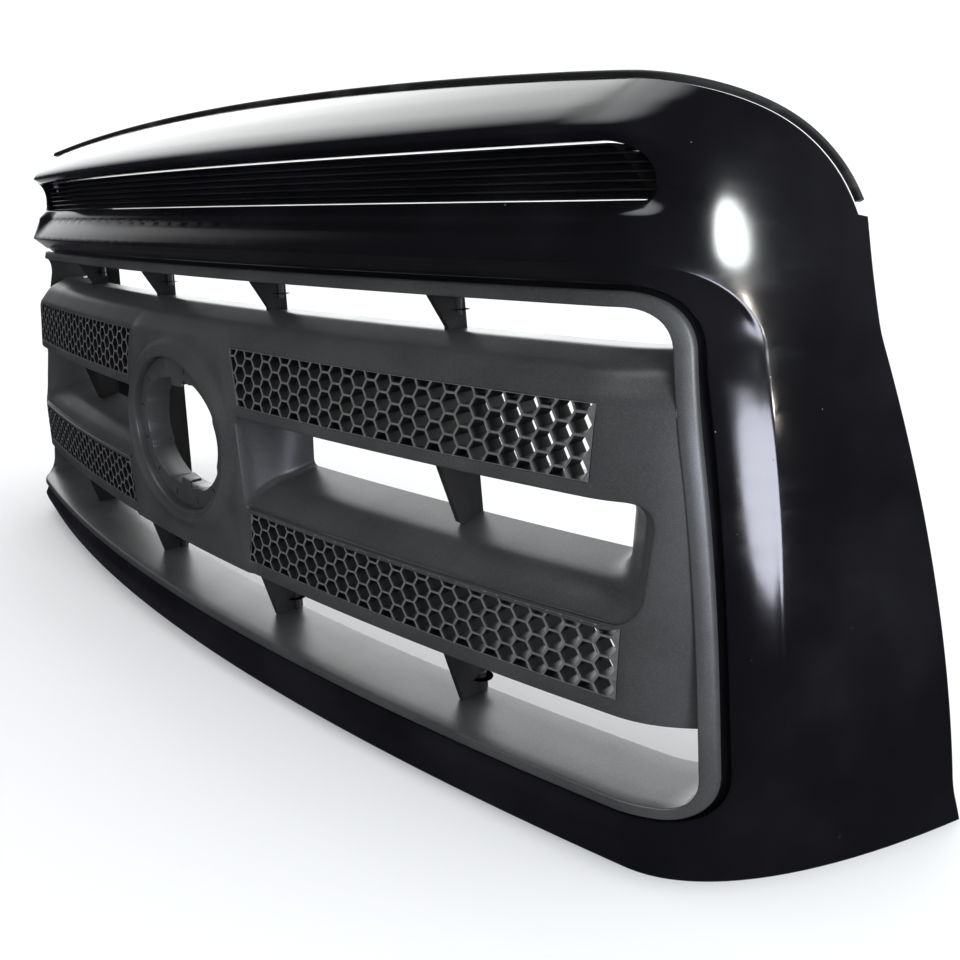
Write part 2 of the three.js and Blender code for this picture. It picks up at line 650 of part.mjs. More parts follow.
// ---------------------------------------------------------------- support posts
// Side profile of a post, in Y and Z: it fills the three gaps and stays behind the bars.
function postProfile(outer, ease) {
  const middle = outer ? [[16, 258], [-8, 254], [9, 200], [16, 196]] : [];
  const front = [[1, POST.top], [16, 345], ...middle, [16, 118], [-20, 113], [-5, POST.bottom]];
  const rear = [[23, POST.bottom], [24, 100], [POST.rearY, 130], [POST.rearY, POST.top]];
  return [...front.map(([y, z]) => [y - ease, z]), ...rear.map(([y, z]) => [y + ease * POST.notch, z])];
}

// How far a post has splayed outwards at height z.
function postX(x, z) {
  return x * (1 + POST.splay * (POST.top - z));
}

function buildPostFlat(x, ease) {
  const half = POST.thickness / 2 + ease;
  const slab = prism(postProfile(Math.abs(x) > 200, ease), -half, half);
  return slab.warp((v) => {
    v[0] += postX(x, v[2]);
  });
}

// Where the screw through the frame enters the post, at its top or bottom end.
function postEnd(x, top) {
  const z = top ? POST.top : POST.bottom;
  const px = postX(x, z);
  return { x: px, y: (top ? POST.screwTopY : POST.screwLowY) + bow(px, z), z, into: top ? -1 : 1 };
}

function rodZ(radius, end, from, to) {
  const [a, b] = [end.z + end.into * from, end.z + end.into * to];
  return cylinderZ(radius, end.x, end.y, Math.min(a, b), Math.max(a, b));
}

function buildPost(x) {
  let post = bend(buildPostFlat(x, 0), panelLift, [], []);
  [true, false].forEach((top) => {
    const end = postEnd(x, top);
    post = post.add(rodZ(POST.boss, end, 0, POST.bossDepth)).subtract(rodZ(BOSS.pilot, end, -5, POST.bossDepth - 2));
  });
  return post;
}

function postScrew(x, top) {
  const end = postEnd(x, top);
  const seat = -(RIM.wall + 2 * GAP);
  return rodZ(SCREW.shank, end, seat - 0.5, POST.bossDepth - 4)
    .add(rodZ(SCREW.head, end, seat - SCREW.headHeight, seat));
}

// ---------------------------------------------------------------- fasteners and brackets
// A pan-head screw driven towards -Y, head at y = headY.
function screwAt(x, z, headY) {
  return cylinderY(SCREW.shank, x, z, headY - SCREW.length, headY + 0.5)
    .add(cylinderY(SCREW.head, x, z, headY, headY + SCREW.headHeight));
}

function springNut(x) {
  const { z, rear } = tabFrame(x);
  const half = 9;
  const y0 = rear - 26;
  const y1 = rear + 2;
  const t = 0.8;
  const top = z + GAP;
  const low = z - TAB.thickness - GAP;
  const sheet = prism([[y0, top], [y1, top], [y1, low], [y0, low], [y0, low - t], [y1 + t, low - t],
    [y1 + t, top + t], [y0, top + t]], x - half, x + half);
  const collar = cylinderZ(4.2, x, rear - 16, low - 6, low - t / 2);
  return sheet.add(collar).subtract(cylinderZ(2.6, x, rear - 16, low - 20, top + 20));
}

// A steel angle behind each side pillar, on two bosses of the surround.
function sideBracket() {
  const { x, zs, y, web, leg, sheet, margin } = BRACKET;
  const z0 = zs[0] - margin;
  const z1 = zs[1] + margin;
  let angle = box(x - web / 2, x + web / 2, y, y + sheet, z0, z1)
    .add(box(x - web / 2, x - web / 2 + sheet, y, y + leg, z0, z1));
  zs.forEach((z) => {
    angle = angle.subtract(cylinderY(BOSS.pilot, x, z, y - 5, y + 5));
  });
  const hole = cylinderY(BRACKET.hole, 0, 0, -20, 20).rotate([0, 0, 90]);
  return angle.subtract(hole.translate([x - web / 2, y + leg * 0.6, (z0 + z1) / 2]));
}

// ---------------------------------------------------------------- assembly
const MATERIALS = {
  gloss: { color: 0x0b0b0e, roughness: 0.12, metalness: 0 },
  satin: { color: 0x1a1a1d, roughness: 0.45, metalness: 0 },
  grey: { color: 0x3c3f3d, roughness: 0.6, metalness: 0.1 },
  raw: { color: 0x141414, roughness: 0.75, metalness: 0 },
  rubber: { color: 0x0d0d0d, roughness: 0.9, metalness: 0 },
  zinc: { color: 0xb8bcc0, roughness: 0.35, metalness: 1 },
};

const grille = new THREE.Group();
grille.name = 'front_grille';

function place(name, solid, finish) {
  const mesh = new THREE.Mesh(toGeometry(solid), new THREE.MeshStandardMaterial(MATERIALS[finish]));
  mesh.name = name;
  grille.add(mesh);
}

place('surround_shell', buildSurround(), 'gloss');
place('hood_seal', buildSeal(), 'rubber');
place('louvre_panel', buildLouvre(), 'satin');
place('insert_frame', buildInsertFrame(), 'grey');
place('bar_panel', buildBarPanel(), 'grey');
place('emblem_seat', buildEmblemSeat(), 'grey');
SCREENS.forEach((screen) => {
  const solid = buildScreen(screen);
  place(`screen_${screen.name}_right`, solid, 'raw');
  place(`screen_${screen.name}_left`, mirrorX(solid), 'raw');
});
POST.xs.forEach((x, i) => place(`post_${i + 1}`, buildPost(x), 'raw'));
EAR.xs.forEach((x, i) => {
  const top = EAR.topY + EAR.thickness + GAP + bow(x, EAR.topZ);
  const low = EAR.lowY + EAR.thickness + GAP + bow(x, EAR.lowZ);
  place(`frame_screw_top_${i + 1}`, screwAt(x, EAR.topZ, top), 'zinc');
  place(`frame_screw_low_${i + 1}`, screwAt(x, EAR.lowZ, low), 'zinc');
});
TAB.xs.forEach((x, i) => place(`spring_nut_${i + 1}`, springNut(x), 'zinc'));
POST.xs.forEach((x, i) => {
  place(`post_screw_top_${i + 1}`, postScrew(x, true), 'zinc');
  place(`post_screw_low_${i + 1}`, postScrew(x, false), 'zinc');
});
BRACKET.zs.forEach((z, i) => {
  const screw = screwAt(BRACKET.x, z, BRACKET.y + BRACKET.sheet + GAP);
  place(`bracket_screw_right_${i + 1}`, screw, 'zinc');
  place(`bracket_screw_left_${i + 1}`, mirrorX(screw), 'zinc');
});
place('side_bracket_right', sideBracket(), 'zinc');
place('side_bracket_left', mirrorX(sideBracket()), 'zinc');

// The design datum is the bow's crown; the part's origin is the middle of its depth.
const middle = new THREE.Box3().setFromObject(grille).getCenter(new THREE.Vector3());
grille.children.forEach((mesh) => {
  mesh.position.y = -middle.y;
});

export default grille;
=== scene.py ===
"""Looks of a pickup's front grille: gloss surround, louvre, painted insert with honeycomb, and fixings.

Sizes are design millimetres (+Z up, the grille faces -Y); `to_row` turns them into the row frame's metres.
"""

import logging
import math
from dataclasses import dataclass
from enum import Enum
from typing import Callable, Iterable, Optional, Sequence

import bmesh
import bpy
import numpy as np
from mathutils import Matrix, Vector
from mathutils.geometry import delaunay_2d_cdt


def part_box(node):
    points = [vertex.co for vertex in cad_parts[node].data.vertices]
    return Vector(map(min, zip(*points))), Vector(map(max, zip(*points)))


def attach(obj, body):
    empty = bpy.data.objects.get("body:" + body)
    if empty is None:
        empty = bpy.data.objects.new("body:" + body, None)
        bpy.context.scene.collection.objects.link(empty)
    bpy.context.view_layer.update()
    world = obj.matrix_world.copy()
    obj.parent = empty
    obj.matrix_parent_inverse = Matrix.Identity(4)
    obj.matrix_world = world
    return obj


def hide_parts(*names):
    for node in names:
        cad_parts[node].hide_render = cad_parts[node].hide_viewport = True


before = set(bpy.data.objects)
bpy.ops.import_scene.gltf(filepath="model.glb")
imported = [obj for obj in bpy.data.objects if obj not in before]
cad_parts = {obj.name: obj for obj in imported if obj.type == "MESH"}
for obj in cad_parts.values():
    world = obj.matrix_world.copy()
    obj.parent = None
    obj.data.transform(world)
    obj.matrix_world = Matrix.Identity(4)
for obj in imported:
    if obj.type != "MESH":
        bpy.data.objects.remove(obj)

LOG = logging.getLogger("grille")
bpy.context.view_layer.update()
SEAT_FRONT_Y = -24.0  # design Y of the emblem seat's front face, which ties the two frames together
Y_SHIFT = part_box("emblem_seat")[0].y * 1000 - SEAT_FRONT_Y


# ---------------------------------------------------------------- shader graph
class Value:
    """A node's output socket that takes part in arithmetic."""

    def __init__(self, graph: "Graph", socket: bpy.types.NodeSocket) -> None:
        """Keeps the graph and the socket."""
        self.graph = graph
        self.socket = socket

    def _math(self, operation: str, *terms: object) -> "Value":
        """Adds one Math node over the terms."""
        return self.graph.add("ShaderNodeMath", {"operation": operation}, dict(enumerate(terms)))

    def __add__(self, other: object) -> "Value":
        """Sum."""
        return self._math("ADD", self, other)

    __radd__ = __add__

    def __sub__(self, other: object) -> "Value":
        """Difference."""
        return self._math("SUBTRACT", self, other)

    def __rsub__(self, other: object) -> "Value":
        """Reflected difference."""
        return self._math("SUBTRACT", other, self)

    def __mul__(self, other: object) -> "Value":
        """Product."""
        return self._math("MULTIPLY", self, other)

    __rmul__ = __mul__

    def __truediv__(self, other: object) -> "Value":
        """Quotient."""
        return self._math("DIVIDE", self, other)

    def __pow__(self, other: object) -> "Value":
        """Power."""
        return self._math("POWER", self, other)

    def above(self, low: float, high: float) -> "Value":
        """A smooth step from 0 at low to 1 at high."""
        return self.graph.add(
            "ShaderNodeMapRange",
            {"interpolation_type": "SMOOTHSTEP"},
            {"Value": self, "From Min": low, "From Max": high},
        )


class Graph:
    """The node tree of one material or world."""

    def __init__(self, tree: bpy.types.NodeTree) -> None:
        """Takes a node tree and empties it."""
        self.tree = tree
        tree.nodes.clear()

    def add(self, kind: str, settings: Optional[dict] = None, inputs: Optional[dict] = None,
            output: object = 0) -> Value:
        """Adds one node.

        Args:
            kind: the node's type name.
            settings: attributes set before the sockets; "stops" fills a ramp.
            inputs: socket name or number to a number, tuple or Value.
            output: name or number of the socket handed back.

        Returns:
            The chosen output socket.
        """
        node = self.tree.nodes.new(kind)
        for key, value in (settings or {}).items():
            if key == "stops":
                self._fill_ramp(node.color_ramp, value)
            else:
                setattr(node, key, value)
        for key, value in (inputs or {}).items():
            if isinstance(value, Value):
                self.tree.links.new(value.socket, node.inputs[key])
            else:
                node.inputs[key].default_value = value
        return Value(self, node.outputs[output]) if node.outputs else None

    @staticmethod
    def _fill_ramp(ramp: bpy.types.ColorRamp, stops: Sequence[tuple]) -> None:
        """Writes a ramp's stops.

        Args:
            ramp: the ramp to fill.
            stops: (position, colour) pairs in order.
        """
        while len(ramp.elements) > 1:
            ramp.elements.remove(ramp.elements[-1])
        ramp.elements[0].position, ramp.elements[0].color = stops[0]
        for position, colour in stops[1:]:
            ramp.elements.new(position).color = colour

    def position(self) -> Value:
        """Object-space position, in metres."""
        return self.add("ShaderNodeTexCoord", output="Object")

    def noise(self, scale: float, detail: float = 3.0, stretch: tuple = (1, 1, 1)) -> Value:
        """Noise over object space, 0 to 1; a stretch below 1 draws the features out along that axis."""
        place = self.add("ShaderNodeMapping", {}, {"Vector": self.position(), "Scale": stretch})
        return self.add("ShaderNodeTexNoise", {}, {"Vector": place, "Scale": scale, "Detail": detail})

    def blend(self, factor: Value, low: tuple, high: tuple) -> Value:
        """Mixes two colours.

        Args:
            factor: 0 gives low and 1 gives high.
            low: first colour.
            high: second colour.

        Returns:
            The mixed colour.
        """
        node = self.tree.nodes.new("ShaderNodeMix")
        node.data_type = "RGBA"
        self.tree.links.new(factor.socket, node.inputs[0])
        for key, value in ((6, low), (7, high)):
            if isinstance(value, Value):
                self.tree.links.new(value.socket, node.inputs[key])
            else:
                node.inputs[key].default_value = (*value, 1)
        return Value(self, node.outputs[2])

    def bump(self, height: Value, strength: float, depth: float, under: Optional[Value] = None) -> Value:
        """Adds a Bump node.

        Args:
            height: the relief.
            strength: share of the effect.
            depth: relief depth in metres.
            under: a bump that this one lies on.

        Returns:
            The normal.
        """
        inputs = {"Height": height, "Strength": strength, "Distance": depth}
        if under is not None:
            inputs["Normal"] = under
        return self.add("ShaderNodeBump", {}, inputs)

    def surface(self, **inputs: object) -> Value:
        """Adds the Principled shader and the output.

        Args:
            **inputs: socket names, with underscores for spaces.

        Returns:
            The shader socket.
        """
        named = {key.replace("_", " "): value for key, value in inputs.items()}
        shader = self.add("ShaderNodeBsdfPrincipled", {}, named)
        self.add("ShaderNodeOutputMaterial", {}, {"Surface": shader})
        return shader


class Finish:
    """A procedural finish, made once and shared."""

    slot_name = "satin_black"

    def paint(self, graph: Graph) -> None:
        """Writes the finish's nodes."""
        raise NotImplementedError

    def material(self) -> bpy.types.Material:
        """Makes the material, or hands back the one already made.

        Returns:
            The material.
        """
        name = type(self).__name__
        made = bpy.data.materials.get(name)
        if made is None:
            made = bpy.data.materials.new(name)
            made.use_nodes = True
            self.paint(Graph(made.node_tree))
        return made


@dataclass(frozen=True)
class GlossBlack(Finish):
    """High gloss moulded black with faint haze, wiping marks and dust."""

    slot_name = "gloss_black"
    dark: tuple = (0.0035, 0.0035, 0.0045)
    haze: tuple = (0.009, 0.009, 0.011)
    dust: tuple = (0.25, 0.25, 0.27)

    def paint(self, graph: Graph) -> None:
        """Writes the finish's nodes."""
        clouds = graph.noise(7.0, 4.0)
        wiping = graph.noise(34.0, 5.0, (0.25, 0.25, 1.6))
        ripple = graph.noise(55.0, 1.0)
        flecks = graph.add("ShaderNodeTexVoronoi", {}, {"Vector": graph.position(), "Scale": 46.0})
        speck = 1 - flecks.above(0.018, 0.03)
        colour = graph.blend(clouds.above(0.42, 0.75), self.dark, self.haze)
        colour = graph.blend(speck * 0.6, colour, self.dust)
        rough = 0.085 + 0.05 * clouds.above(0.35, 0.7) + 0.05 * wiping.above(0.5, 0.8) + 0.3 * speck
        relief = graph.bump(ripple, 0.05, 0.0006)
        graph.surface(Base_Color=colour, Roughness=rough, Normal=relief, IOR=1.5)


@dataclass(frozen=True)
class SatinBlack(Finish):
    """Moulded black louvre with a soft shine."""

    slot_name = "satin_black"
    dark: tuple = (0.008, 0.008, 0.009)
    light: tuple = (0.018, 0.018, 0.02)

    def paint(self, graph: Graph) -> None:
        """Writes the finish's nodes."""
        clouds = graph.noise(25.0, 4.0, (0.3, 1, 1))
        grain = graph.noise(1500.0, 2.0)
        colour = graph.blend(clouds.above(0.4, 0.7), self.dark, self.light)
        graph.surface(Base_Color=colour, Roughness=0.16 + 0.1 * clouds, Normal=graph.bump(grain, 0.1, 0.0002))


@dataclass(frozen=True)
class PaintedGrey(Finish):
    """Dark metallic grey paint over a fine moulded grain."""

    slot_name = "painted_grey"
    dark: tuple = (0.05, 0.0515, 0.053)
    light: tuple = (0.072, 0.074, 0.077)
    flake: tuple = (0.15, 0.154, 0.156)

    def colour(self, graph: Graph) -> Value:
        """The paint's colour with its flakes.

        Args:
            graph: where the nodes go.

        Returns:
            The colour socket.
        """
        clouds = graph.noise(16.0, 4.0)
        flakes = graph.add("ShaderNodeTexVoronoi", {}, {"Vector": graph.position(), "Scale": 2600.0}, "Color")
        shine = graph.add("ShaderNodeSeparateColor", {}, {"Color": flakes})
        base = graph.blend(clouds.above(0.3, 0.75), self.dark, self.light)
        return graph.blend(shine.above(0.6, 1.0) * 0.35, base, self.flake)

    def relief(self, graph: Graph) -> Value:
        """The moulded grain under the paint.

        Args:
            graph: where the nodes go.

        Returns:
            The normal socket.
        """
        grain = graph.noise(1900.0, 2.0)
        waves = graph.noise(120.0, 2.0)
        return graph.bump(grain, 0.1, 0.0002, graph.bump(waves, 0.03, 0.0005))

    def paint(self, graph: Graph) -> None:
        """Writes the finish's nodes."""
        patches = graph.noise(22.0, 3.0)
        graph.surface(Base_Color=self.colour(graph), Roughness=0.3 + 0.1 * patches,
                      Metallic=0.35 + 0.1 * patches, Normal=self.relief(graph))


@dataclass(frozen=True)
class PaintedComb(PaintedGrey):
    """Grey paint on the front edges only, mixed with a lighter grey as a painted highlight: the cell walls
    behind stay raw black.
    """

    raw: tuple = (0.006, 0.006, 0.007)
    # edge: a lighter grey than the paint; partly the paint's own tone, partly a painted highlight on the
    # cells' front edges
    edge: tuple = (0.2, 0.203, 0.208)

    def paint(self, graph: Graph) -> None:
        """Writes the finish's nodes."""
        normal = graph.add("ShaderNodeNewGeometry", output="Normal")
        forward = graph.add("ShaderNodeSeparateXYZ", {}, {"Vector": normal}, "Y") * -1
        painted = forward.above(0.25, 0.8)
        # the front faces mix the paint with the lighter edge grey in patches, partly a painted highlight
        colour = graph.blend(painted, self.raw, graph.blend(graph.noise(300.0), self.light, self.edge))
        graph.surface(Base_Color=colour, Roughness=0.42 - 0.06 * painted, Metallic=0.35 * painted,
                      Normal=self.relief(graph))


@dataclass(frozen=True)
class RawBlack(Finish):
    """Unpainted black moulding with flow marks."""

    slot_name = "raw_black"
    dark: tuple = (0.007, 0.007, 0.007)
    light: tuple = (0.02, 0.02, 0.021)

    def paint(self, graph: Graph) -> None:
        """Writes the finish's nodes."""
        flow = graph.noise(40.0, 4.0, (1, 1, 0.2))
        grain = graph.noise(1400.0, 2.0)
        colour = graph.blend(flow.above(0.35, 0.75), self.dark, self.light)
        graph.surface(Base_Color=colour, Roughness=0.42 + 0.2 * flow, Normal=graph.bump(grain, 0.3, 0.0003))


@dataclass(frozen=True)
class SealRubber(Finish):
    """Matt black rubber with dusty streaks."""

    slot_name = "seal_rubber"
    dark: tuple = (0.008, 0.008, 0.008)
    dusty: tuple = (0.05, 0.05, 0.048)

    def paint(self, graph: Graph) -> None:
        """Writes the finish's nodes."""
        streaks = graph.noise(70.0, 5.0, (0.25, 1, 1))
        pores = graph.noise(2400.0, 2.0)
        colour = graph.blend(streaks.above(0.55, 0.85), self.dark, self.dusty)
        graph.surface(Base_Color=colour, Roughness=0.5 + 0.25 * streaks,
                      Normal=graph.bump(pores, 0.3, 0.0003))


@dataclass(frozen=True)
class ZincSteel(Finish):
    """Plated steel with a faint yellow bloom."""

    slot_name = "zinc_steel"
    bright: tuple = (0.55, 0.56, 0.57)
    bloom: tuple = (0.42, 0.39, 0.3)

    def paint(self, graph: Graph) -> None:
        """Writes the finish's nodes."""
        bloom = graph.noise(60.0, 4.0)
        rolling = graph.noise(500.0, 3.0, (0.2, 1, 1))
        colour = graph.blend(bloom.above(0.45, 0.75), self.bright, self.bloom)
        graph.surface(Base_Color=colour, Metallic=1.0, Roughness=0.25 + 0.25 * rolling,
                      Normal=graph.bump(rolling, 0.1, 0.0002))


# ---------------------------------------------------------------- shared surfaces, design millimetres
@dataclass(frozen=True)
class RoundedLine:
    """A broken line whose corners are rounded; knots are (position, value, half length of the rounding)."""

    knots: tuple

    def __call__(self, at: np.ndarray) -> np.ndarray:
        """The value at each position.

        Args:
            at: positions.

        Returns:
            Values of the same shape.
        """
        at = np.asarray(at, float)
        out = np.interp(at, [k[0] for k in self.knots], [k[1] for k in self.knots])
        for (za, ya, _), (z, y, r), (zb, yb, _) in zip(self.knots, self.knots[1:], self.knots[2:]):
            if r <= 0:
                continue
            before = y + (ya - y) * r / (z - za)
            after = y + (yb - y) * r / (zb - z)
            t = np.clip((at - z + r) / (2 * r), 0, 1)
            curve = (1 - t) ** 2 * before + 2 * t * (1 - t) * y + t * t * after
            out = np.where(np.abs(at - z) < r, curve, out)
        return out

    def stations(self, shares: Sequence[float] = (-1, -0.6, -0.25, 0.25, 0.6, 1)) -> np.ndarray:
        """Positions that describe every rounded corner."""
        return np.array([z + share * r for z, _, r in self.knots[1:-1] for share in shares])


def turns(count: int) -> np.ndarray:
    """Evenly spaced angles of one full turn."""
    return np.linspace(0, 2 * math.pi, count, endpoint=False)


def bezier(start: tuple, corner: tuple, end: tuple, count: int) -> np.ndarray:
    """A quadratic curve from start to end, pulled towards corner, as count + 1 points."""
    t = np.linspace(0, 1, count + 1)[:, None]
    return (1 - t) ** 2 * np.array(start) + 2 * t * (1 - t) * np.array(corner) + t * t * np.array(end)


def towards(here: np.ndarray, other: np.ndarray, by: float) -> tuple:
    """The point at a distance from here on the way to the other point."""
    return tuple(here + (other - here) / np.linalg.norm(other - here) * by)


def straight(start: tuple, end: tuple, count: int) -> np.ndarray:
    """Evenly spaced points from start up to, but without, end."""
    t = np.linspace(0, 1, count, endpoint=False)[:, None]
    return (1 - t) * np.array(start) + t * np.array(end)


def mirrored(half: np.ndarray) -> np.ndarray:
    """Closes a right half outline, from bottom centre to top centre, with its mirror image."""
    left = half[half[:, 0] > 1e-6][::-1] * np.array([-1, 1])
    return np.vstack([half, left])


def flipped(loop: np.ndarray) -> np.ndarray:
    """The left hand image of an outline, turning the same way."""
    return (loop * np.array([-1, 1]))[::-1]


def ellipse(half_width: float, half_height: float, centre_z: float, count: int = 128) -> np.ndarray:
    """An ellipse about the middle of the grille, turning left."""
    t = turns(count)
    return np.column_stack([half_width * np.cos(t), centre_z + half_height * np.sin(t)])


def grown(outline: np.ndarray, by: float) -> np.ndarray:
    """Moves an outline outwards along its normals.

    Args:
        outline: closed outline, turning left.
        by: distance, negative inwards.

    Returns:
        The moved outline.
    """
    along = np.roll(outline, -1, 0) - np.roll(outline, 1, 0)
    along /= np.linalg.norm(along, axis=1)[:, None]
    return outline + by * np.column_stack([along[:, 1], -along[:, 0]])


@dataclass(frozen=True)
class GrilleForm:
    """The surfaces that every piece of the grille shares."""

    foot_half_width: float = 656.0
    shoulder_x: float = 552.0
    shoulder_z: float = 421.0
    height: float = 516.0
    # the sides lean in by linear * z + square * z * z
    side_lean: tuple = (0.1127, 0.000372)
    flare_from_z: float = 345.0
    flare: tuple = (0.2, 20.0)  # rate, ease
    reference_x: float = 420.0
    crown_sweep: float = 32.5
    crown_drop: float = 14.6
    corner_start: float = 509.0
    corner_depth: float = 179.4
    corner_softening: float = 0.35
    corner_max_lean: float = 60.0
    shoulder_power: float = 22
    opening_foot: float = 570.3
    opening_lean: tuple = (0.125, 0.000148)
    opening_z: tuple = (47.0, 382.0)
    opening_r: tuple = (34.0, 38.0)
    scoop_z: tuple = (430.0, 463.0)
    scoop_half_width: float = 478.0
    scoop_r: tuple = (7.0, 24.0)
    shell_front: RoundedLine = RoundedLine((
        (0, -33, 0), (35, -46, 9), (395, -19, 4), (420, 4, 3.5), (436, 2, 6), (468, -14, 6), (480, -2, 6),
        (500, 26, 9), (516, 55, 0)))
    pillar_front: RoundedLine = RoundedLine((
        (0, -33, 0), (35, -46, 9), (395, -19, 12), (430, -13, 14), (465, -4, 12), (490, 12, 7), (505, 28, 7),
        (516, 43, 0)))
    crease_fade: tuple = (420.0, 500.0)
    rim_front: RoundedLine = RoundedLine((
        (30, -46, 0), (47, -44, 3), (172, -32, 40), (313, -24, 30), (382, -4, 8), (400, 0, 0)))

    def lean(self, z: np.ndarray) -> np.ndarray:
        """How far the sides have leaned in at height z."""
        return self.side_lean[0] * z + self.side_lean[1] * z * z

    def bow(self, x: np.ndarray, z: np.ndarray) -> np.ndarray:
        """How far the front has swept back.

        Args:
            x: distance from the middle.
            z: height.

        Returns:
            The sweep in Y.
        """
        lean = self.lean(z)
        start = self.corner_start - lean / (1 + (lean / self.corner_max_lean) ** 4) ** 0.25
        share = np.maximum(0, np.abs(x) - start) / (self.rear_edge(z) - start)
        depth = self.corner_depth * (1 - self.corner_softening * z / self.height)
        return self.crown_sweep * (x / self.reference_x) ** 2 + depth * share * share

    def rear_edge(self, z: np.ndarray) -> np.ndarray:
        """Half width of the surround at height z."""
        above = np.maximum(0, z - self.flare_from_z)
        rate, ease = self.flare
        return self.foot_half_width - self.lean(z) + rate * above * above / (above + ease)

    def skin(self, x: np.ndarray, z: np.ndarray) -> np.ndarray:
        """Y of the surround's front surface, whose creases fade out past the scoop's ends."""
        begin, end = self.crease_fade
        t = np.clip((np.abs(x) - begin) / (end - begin), 0, 1)
        t = t * t * (3 - 2 * t)
        return self.shell_front(z) * (1 - t) + self.pillar_front(z) * t + self.bow(x, z)

    def opening_side(self, z: np.ndarray) -> np.ndarray:
        """Half width of the main opening at height z."""
        return self.opening_foot - self.opening_lean[0] * z - self.opening_lean[1] * z * z

    def hood_edge(self, x: np.ndarray) -> np.ndarray:
        """Height of the hood edge."""
        crown = self.height - self.crown_drop * (x / self.reference_x) ** 2
        return crown - (crown - self.shoulder_z) * (np.abs(x) / self.shoulder_x) ** self.shoulder_power

    def outer(self) -> np.ndarray:
        """Outline of the surround.

        Returns:
            The closed outline in X and Z.
        """
        z = np.linspace(0, self.shoulder_z, 60)
        side = np.column_stack([self.rear_edge(z), z])
        x = self.shoulder_x * np.cos(np.linspace(0.05, math.pi / 2, 120)) ** 0.6
        x[-1] = 0
        top = np.column_stack([x, self.hood_edge(x)])
        return mirrored(np.vstack([straight((0, 0), tuple(side[0]), 100), side, top]))

    def opening(self, side: float, top: float, bottom: float) -> np.ndarray:
        """The main opening grown by a margin on each side.

        Args:
            side: margin at the sides.
            top: margin at the top.
            bottom: margin at the bottom.

        Returns:
            The closed outline in X and Z.
        """
        low, high = self.opening_z[0] - bottom, self.opening_z[1] + top
        low_r, high_r = self.opening_r[0] + min(side, bottom), self.opening_r[1] + min(side, top)

        def x(z: float) -> float:
            """Side of the grown opening."""
            return self.opening_side(z) + side

        z = np.linspace(low + low_r, high - high_r, 62)[1:-1]
        return mirrored(np.vstack([
            straight((0, low), (x(low) - low_r, low), 90),
            bezier((x(low) - low_r, low), (x(low), low), (x(low + low_r), low + low_r), 16),
            np.column_stack([x(z), z]),
            bezier((x(high - high_r), high - high_r), (x(high), high), (x(high) - high_r, high), 16),
            straight((x(high) - high_r, high), (0, high), 90)[1:],
            [[0, high]],
        ]))

    def scoop(self, grow: float, below: Optional[float] = None, above: Optional[float] = None) -> np.ndarray:
        """The long scoop above the opening.

        Args:
            grow: margin at the ends.
            below: margin at the bottom, as grow if not given.
            above: margin at the top, as grow if not given.

        Returns:
            The closed outline in X and Z.
        """
        low = self.scoop_z[0] - (grow if below is None else below)
        high = self.scoop_z[1] + (grow if above is None else above)
        end = self.scoop_half_width + grow
        low_r, high_r = (r + max(0.0, grow) / 2 for r in self.scoop_r)
        return mirrored(np.vstack([
            straight((0, low), (end - low_r, low), 90),
            bezier((end - low_r, low), (end, low), (end, low + low_r), 8),
            bezier((end - 1, high - high_r), (end - 4, high), (end - 10 - high_r, high), 14),
            straight((end - 10 - high_r, high), (0, high), 90)[1:],
            [[0, high]],
        ]))


FORM = GrilleForm()
EARS = (-390.0, -150.0, 150.0, 390.0)  # X of the screw ears of the insert frame


def swept(x: np.ndarray, y: np.ndarray, z: np.ndarray) -> np.ndarray:
    """Points of the flat drawing, swept back with the front."""
    return np.column_stack([x, y + FORM.bow(x, z), z])


# ---------------------------------------------------------------- mesh drafts
def inside(points: np.ndarray, loop: np.ndarray) -> np.ndarray:
    """Tests points against a closed outline.

    Args:
        points: points to test.
        loop: the outline.

    Returns:
        True for each point inside.
    """
    x, y = points[:, 0], points[:, 1]
    found = np.zeros(len(points), bool)
    for (ax, ay), (bx, by) in zip(loop, np.roll(loop, -1, 0)):
        if ay == by:
            continue
        crosses = (ay > y) != (by > y)
        found ^= crosses & (x < (bx - ax) * (y - ay) / (by - ay) + ax)
    return found


def clearance(points: np.ndarray, loop: np.ndarray) -> np.ndarray:
    """Distance from each point to an outline.

    Args:
        points: points to measure.
        loop: the closed outline.

    Returns:
        The distances.
    """
    best = np.full(len(points), 1e9)
    for a, b in zip(loop, np.roll(loop, -1, 0)):
        along = b - a
        t = np.clip((points - a) @ along / max(along @ along, 1e-12), 0, 1)
        best = np.minimum(best, np.linalg.norm(points - a - t[:, None] * along, axis=1))
    return best


def linked(name: str, data: bpy.types.ID) -> bpy.types.Object:
    """Makes an object of some data and puts it in the scene."""
    made = bpy.data.objects.new(name, data)
    bpy.context.scene.collection.objects.link(made)
    return made


def aim(thing: bpy.types.Object, at: tuple, target: tuple) -> None:
    """Puts an object at a place and turns its -Z axis to a target."""
    thing.location = at
    thing.rotation_euler = (Vector(target) - Vector(at)).to_track_quat("-Z", "Y").to_euler()


def to_row(points: np.ndarray) -> np.ndarray:
    """Design millimetres to the row frame's metres."""
    return (points + np.array([0, Y_SHIFT, 0])) / 1000


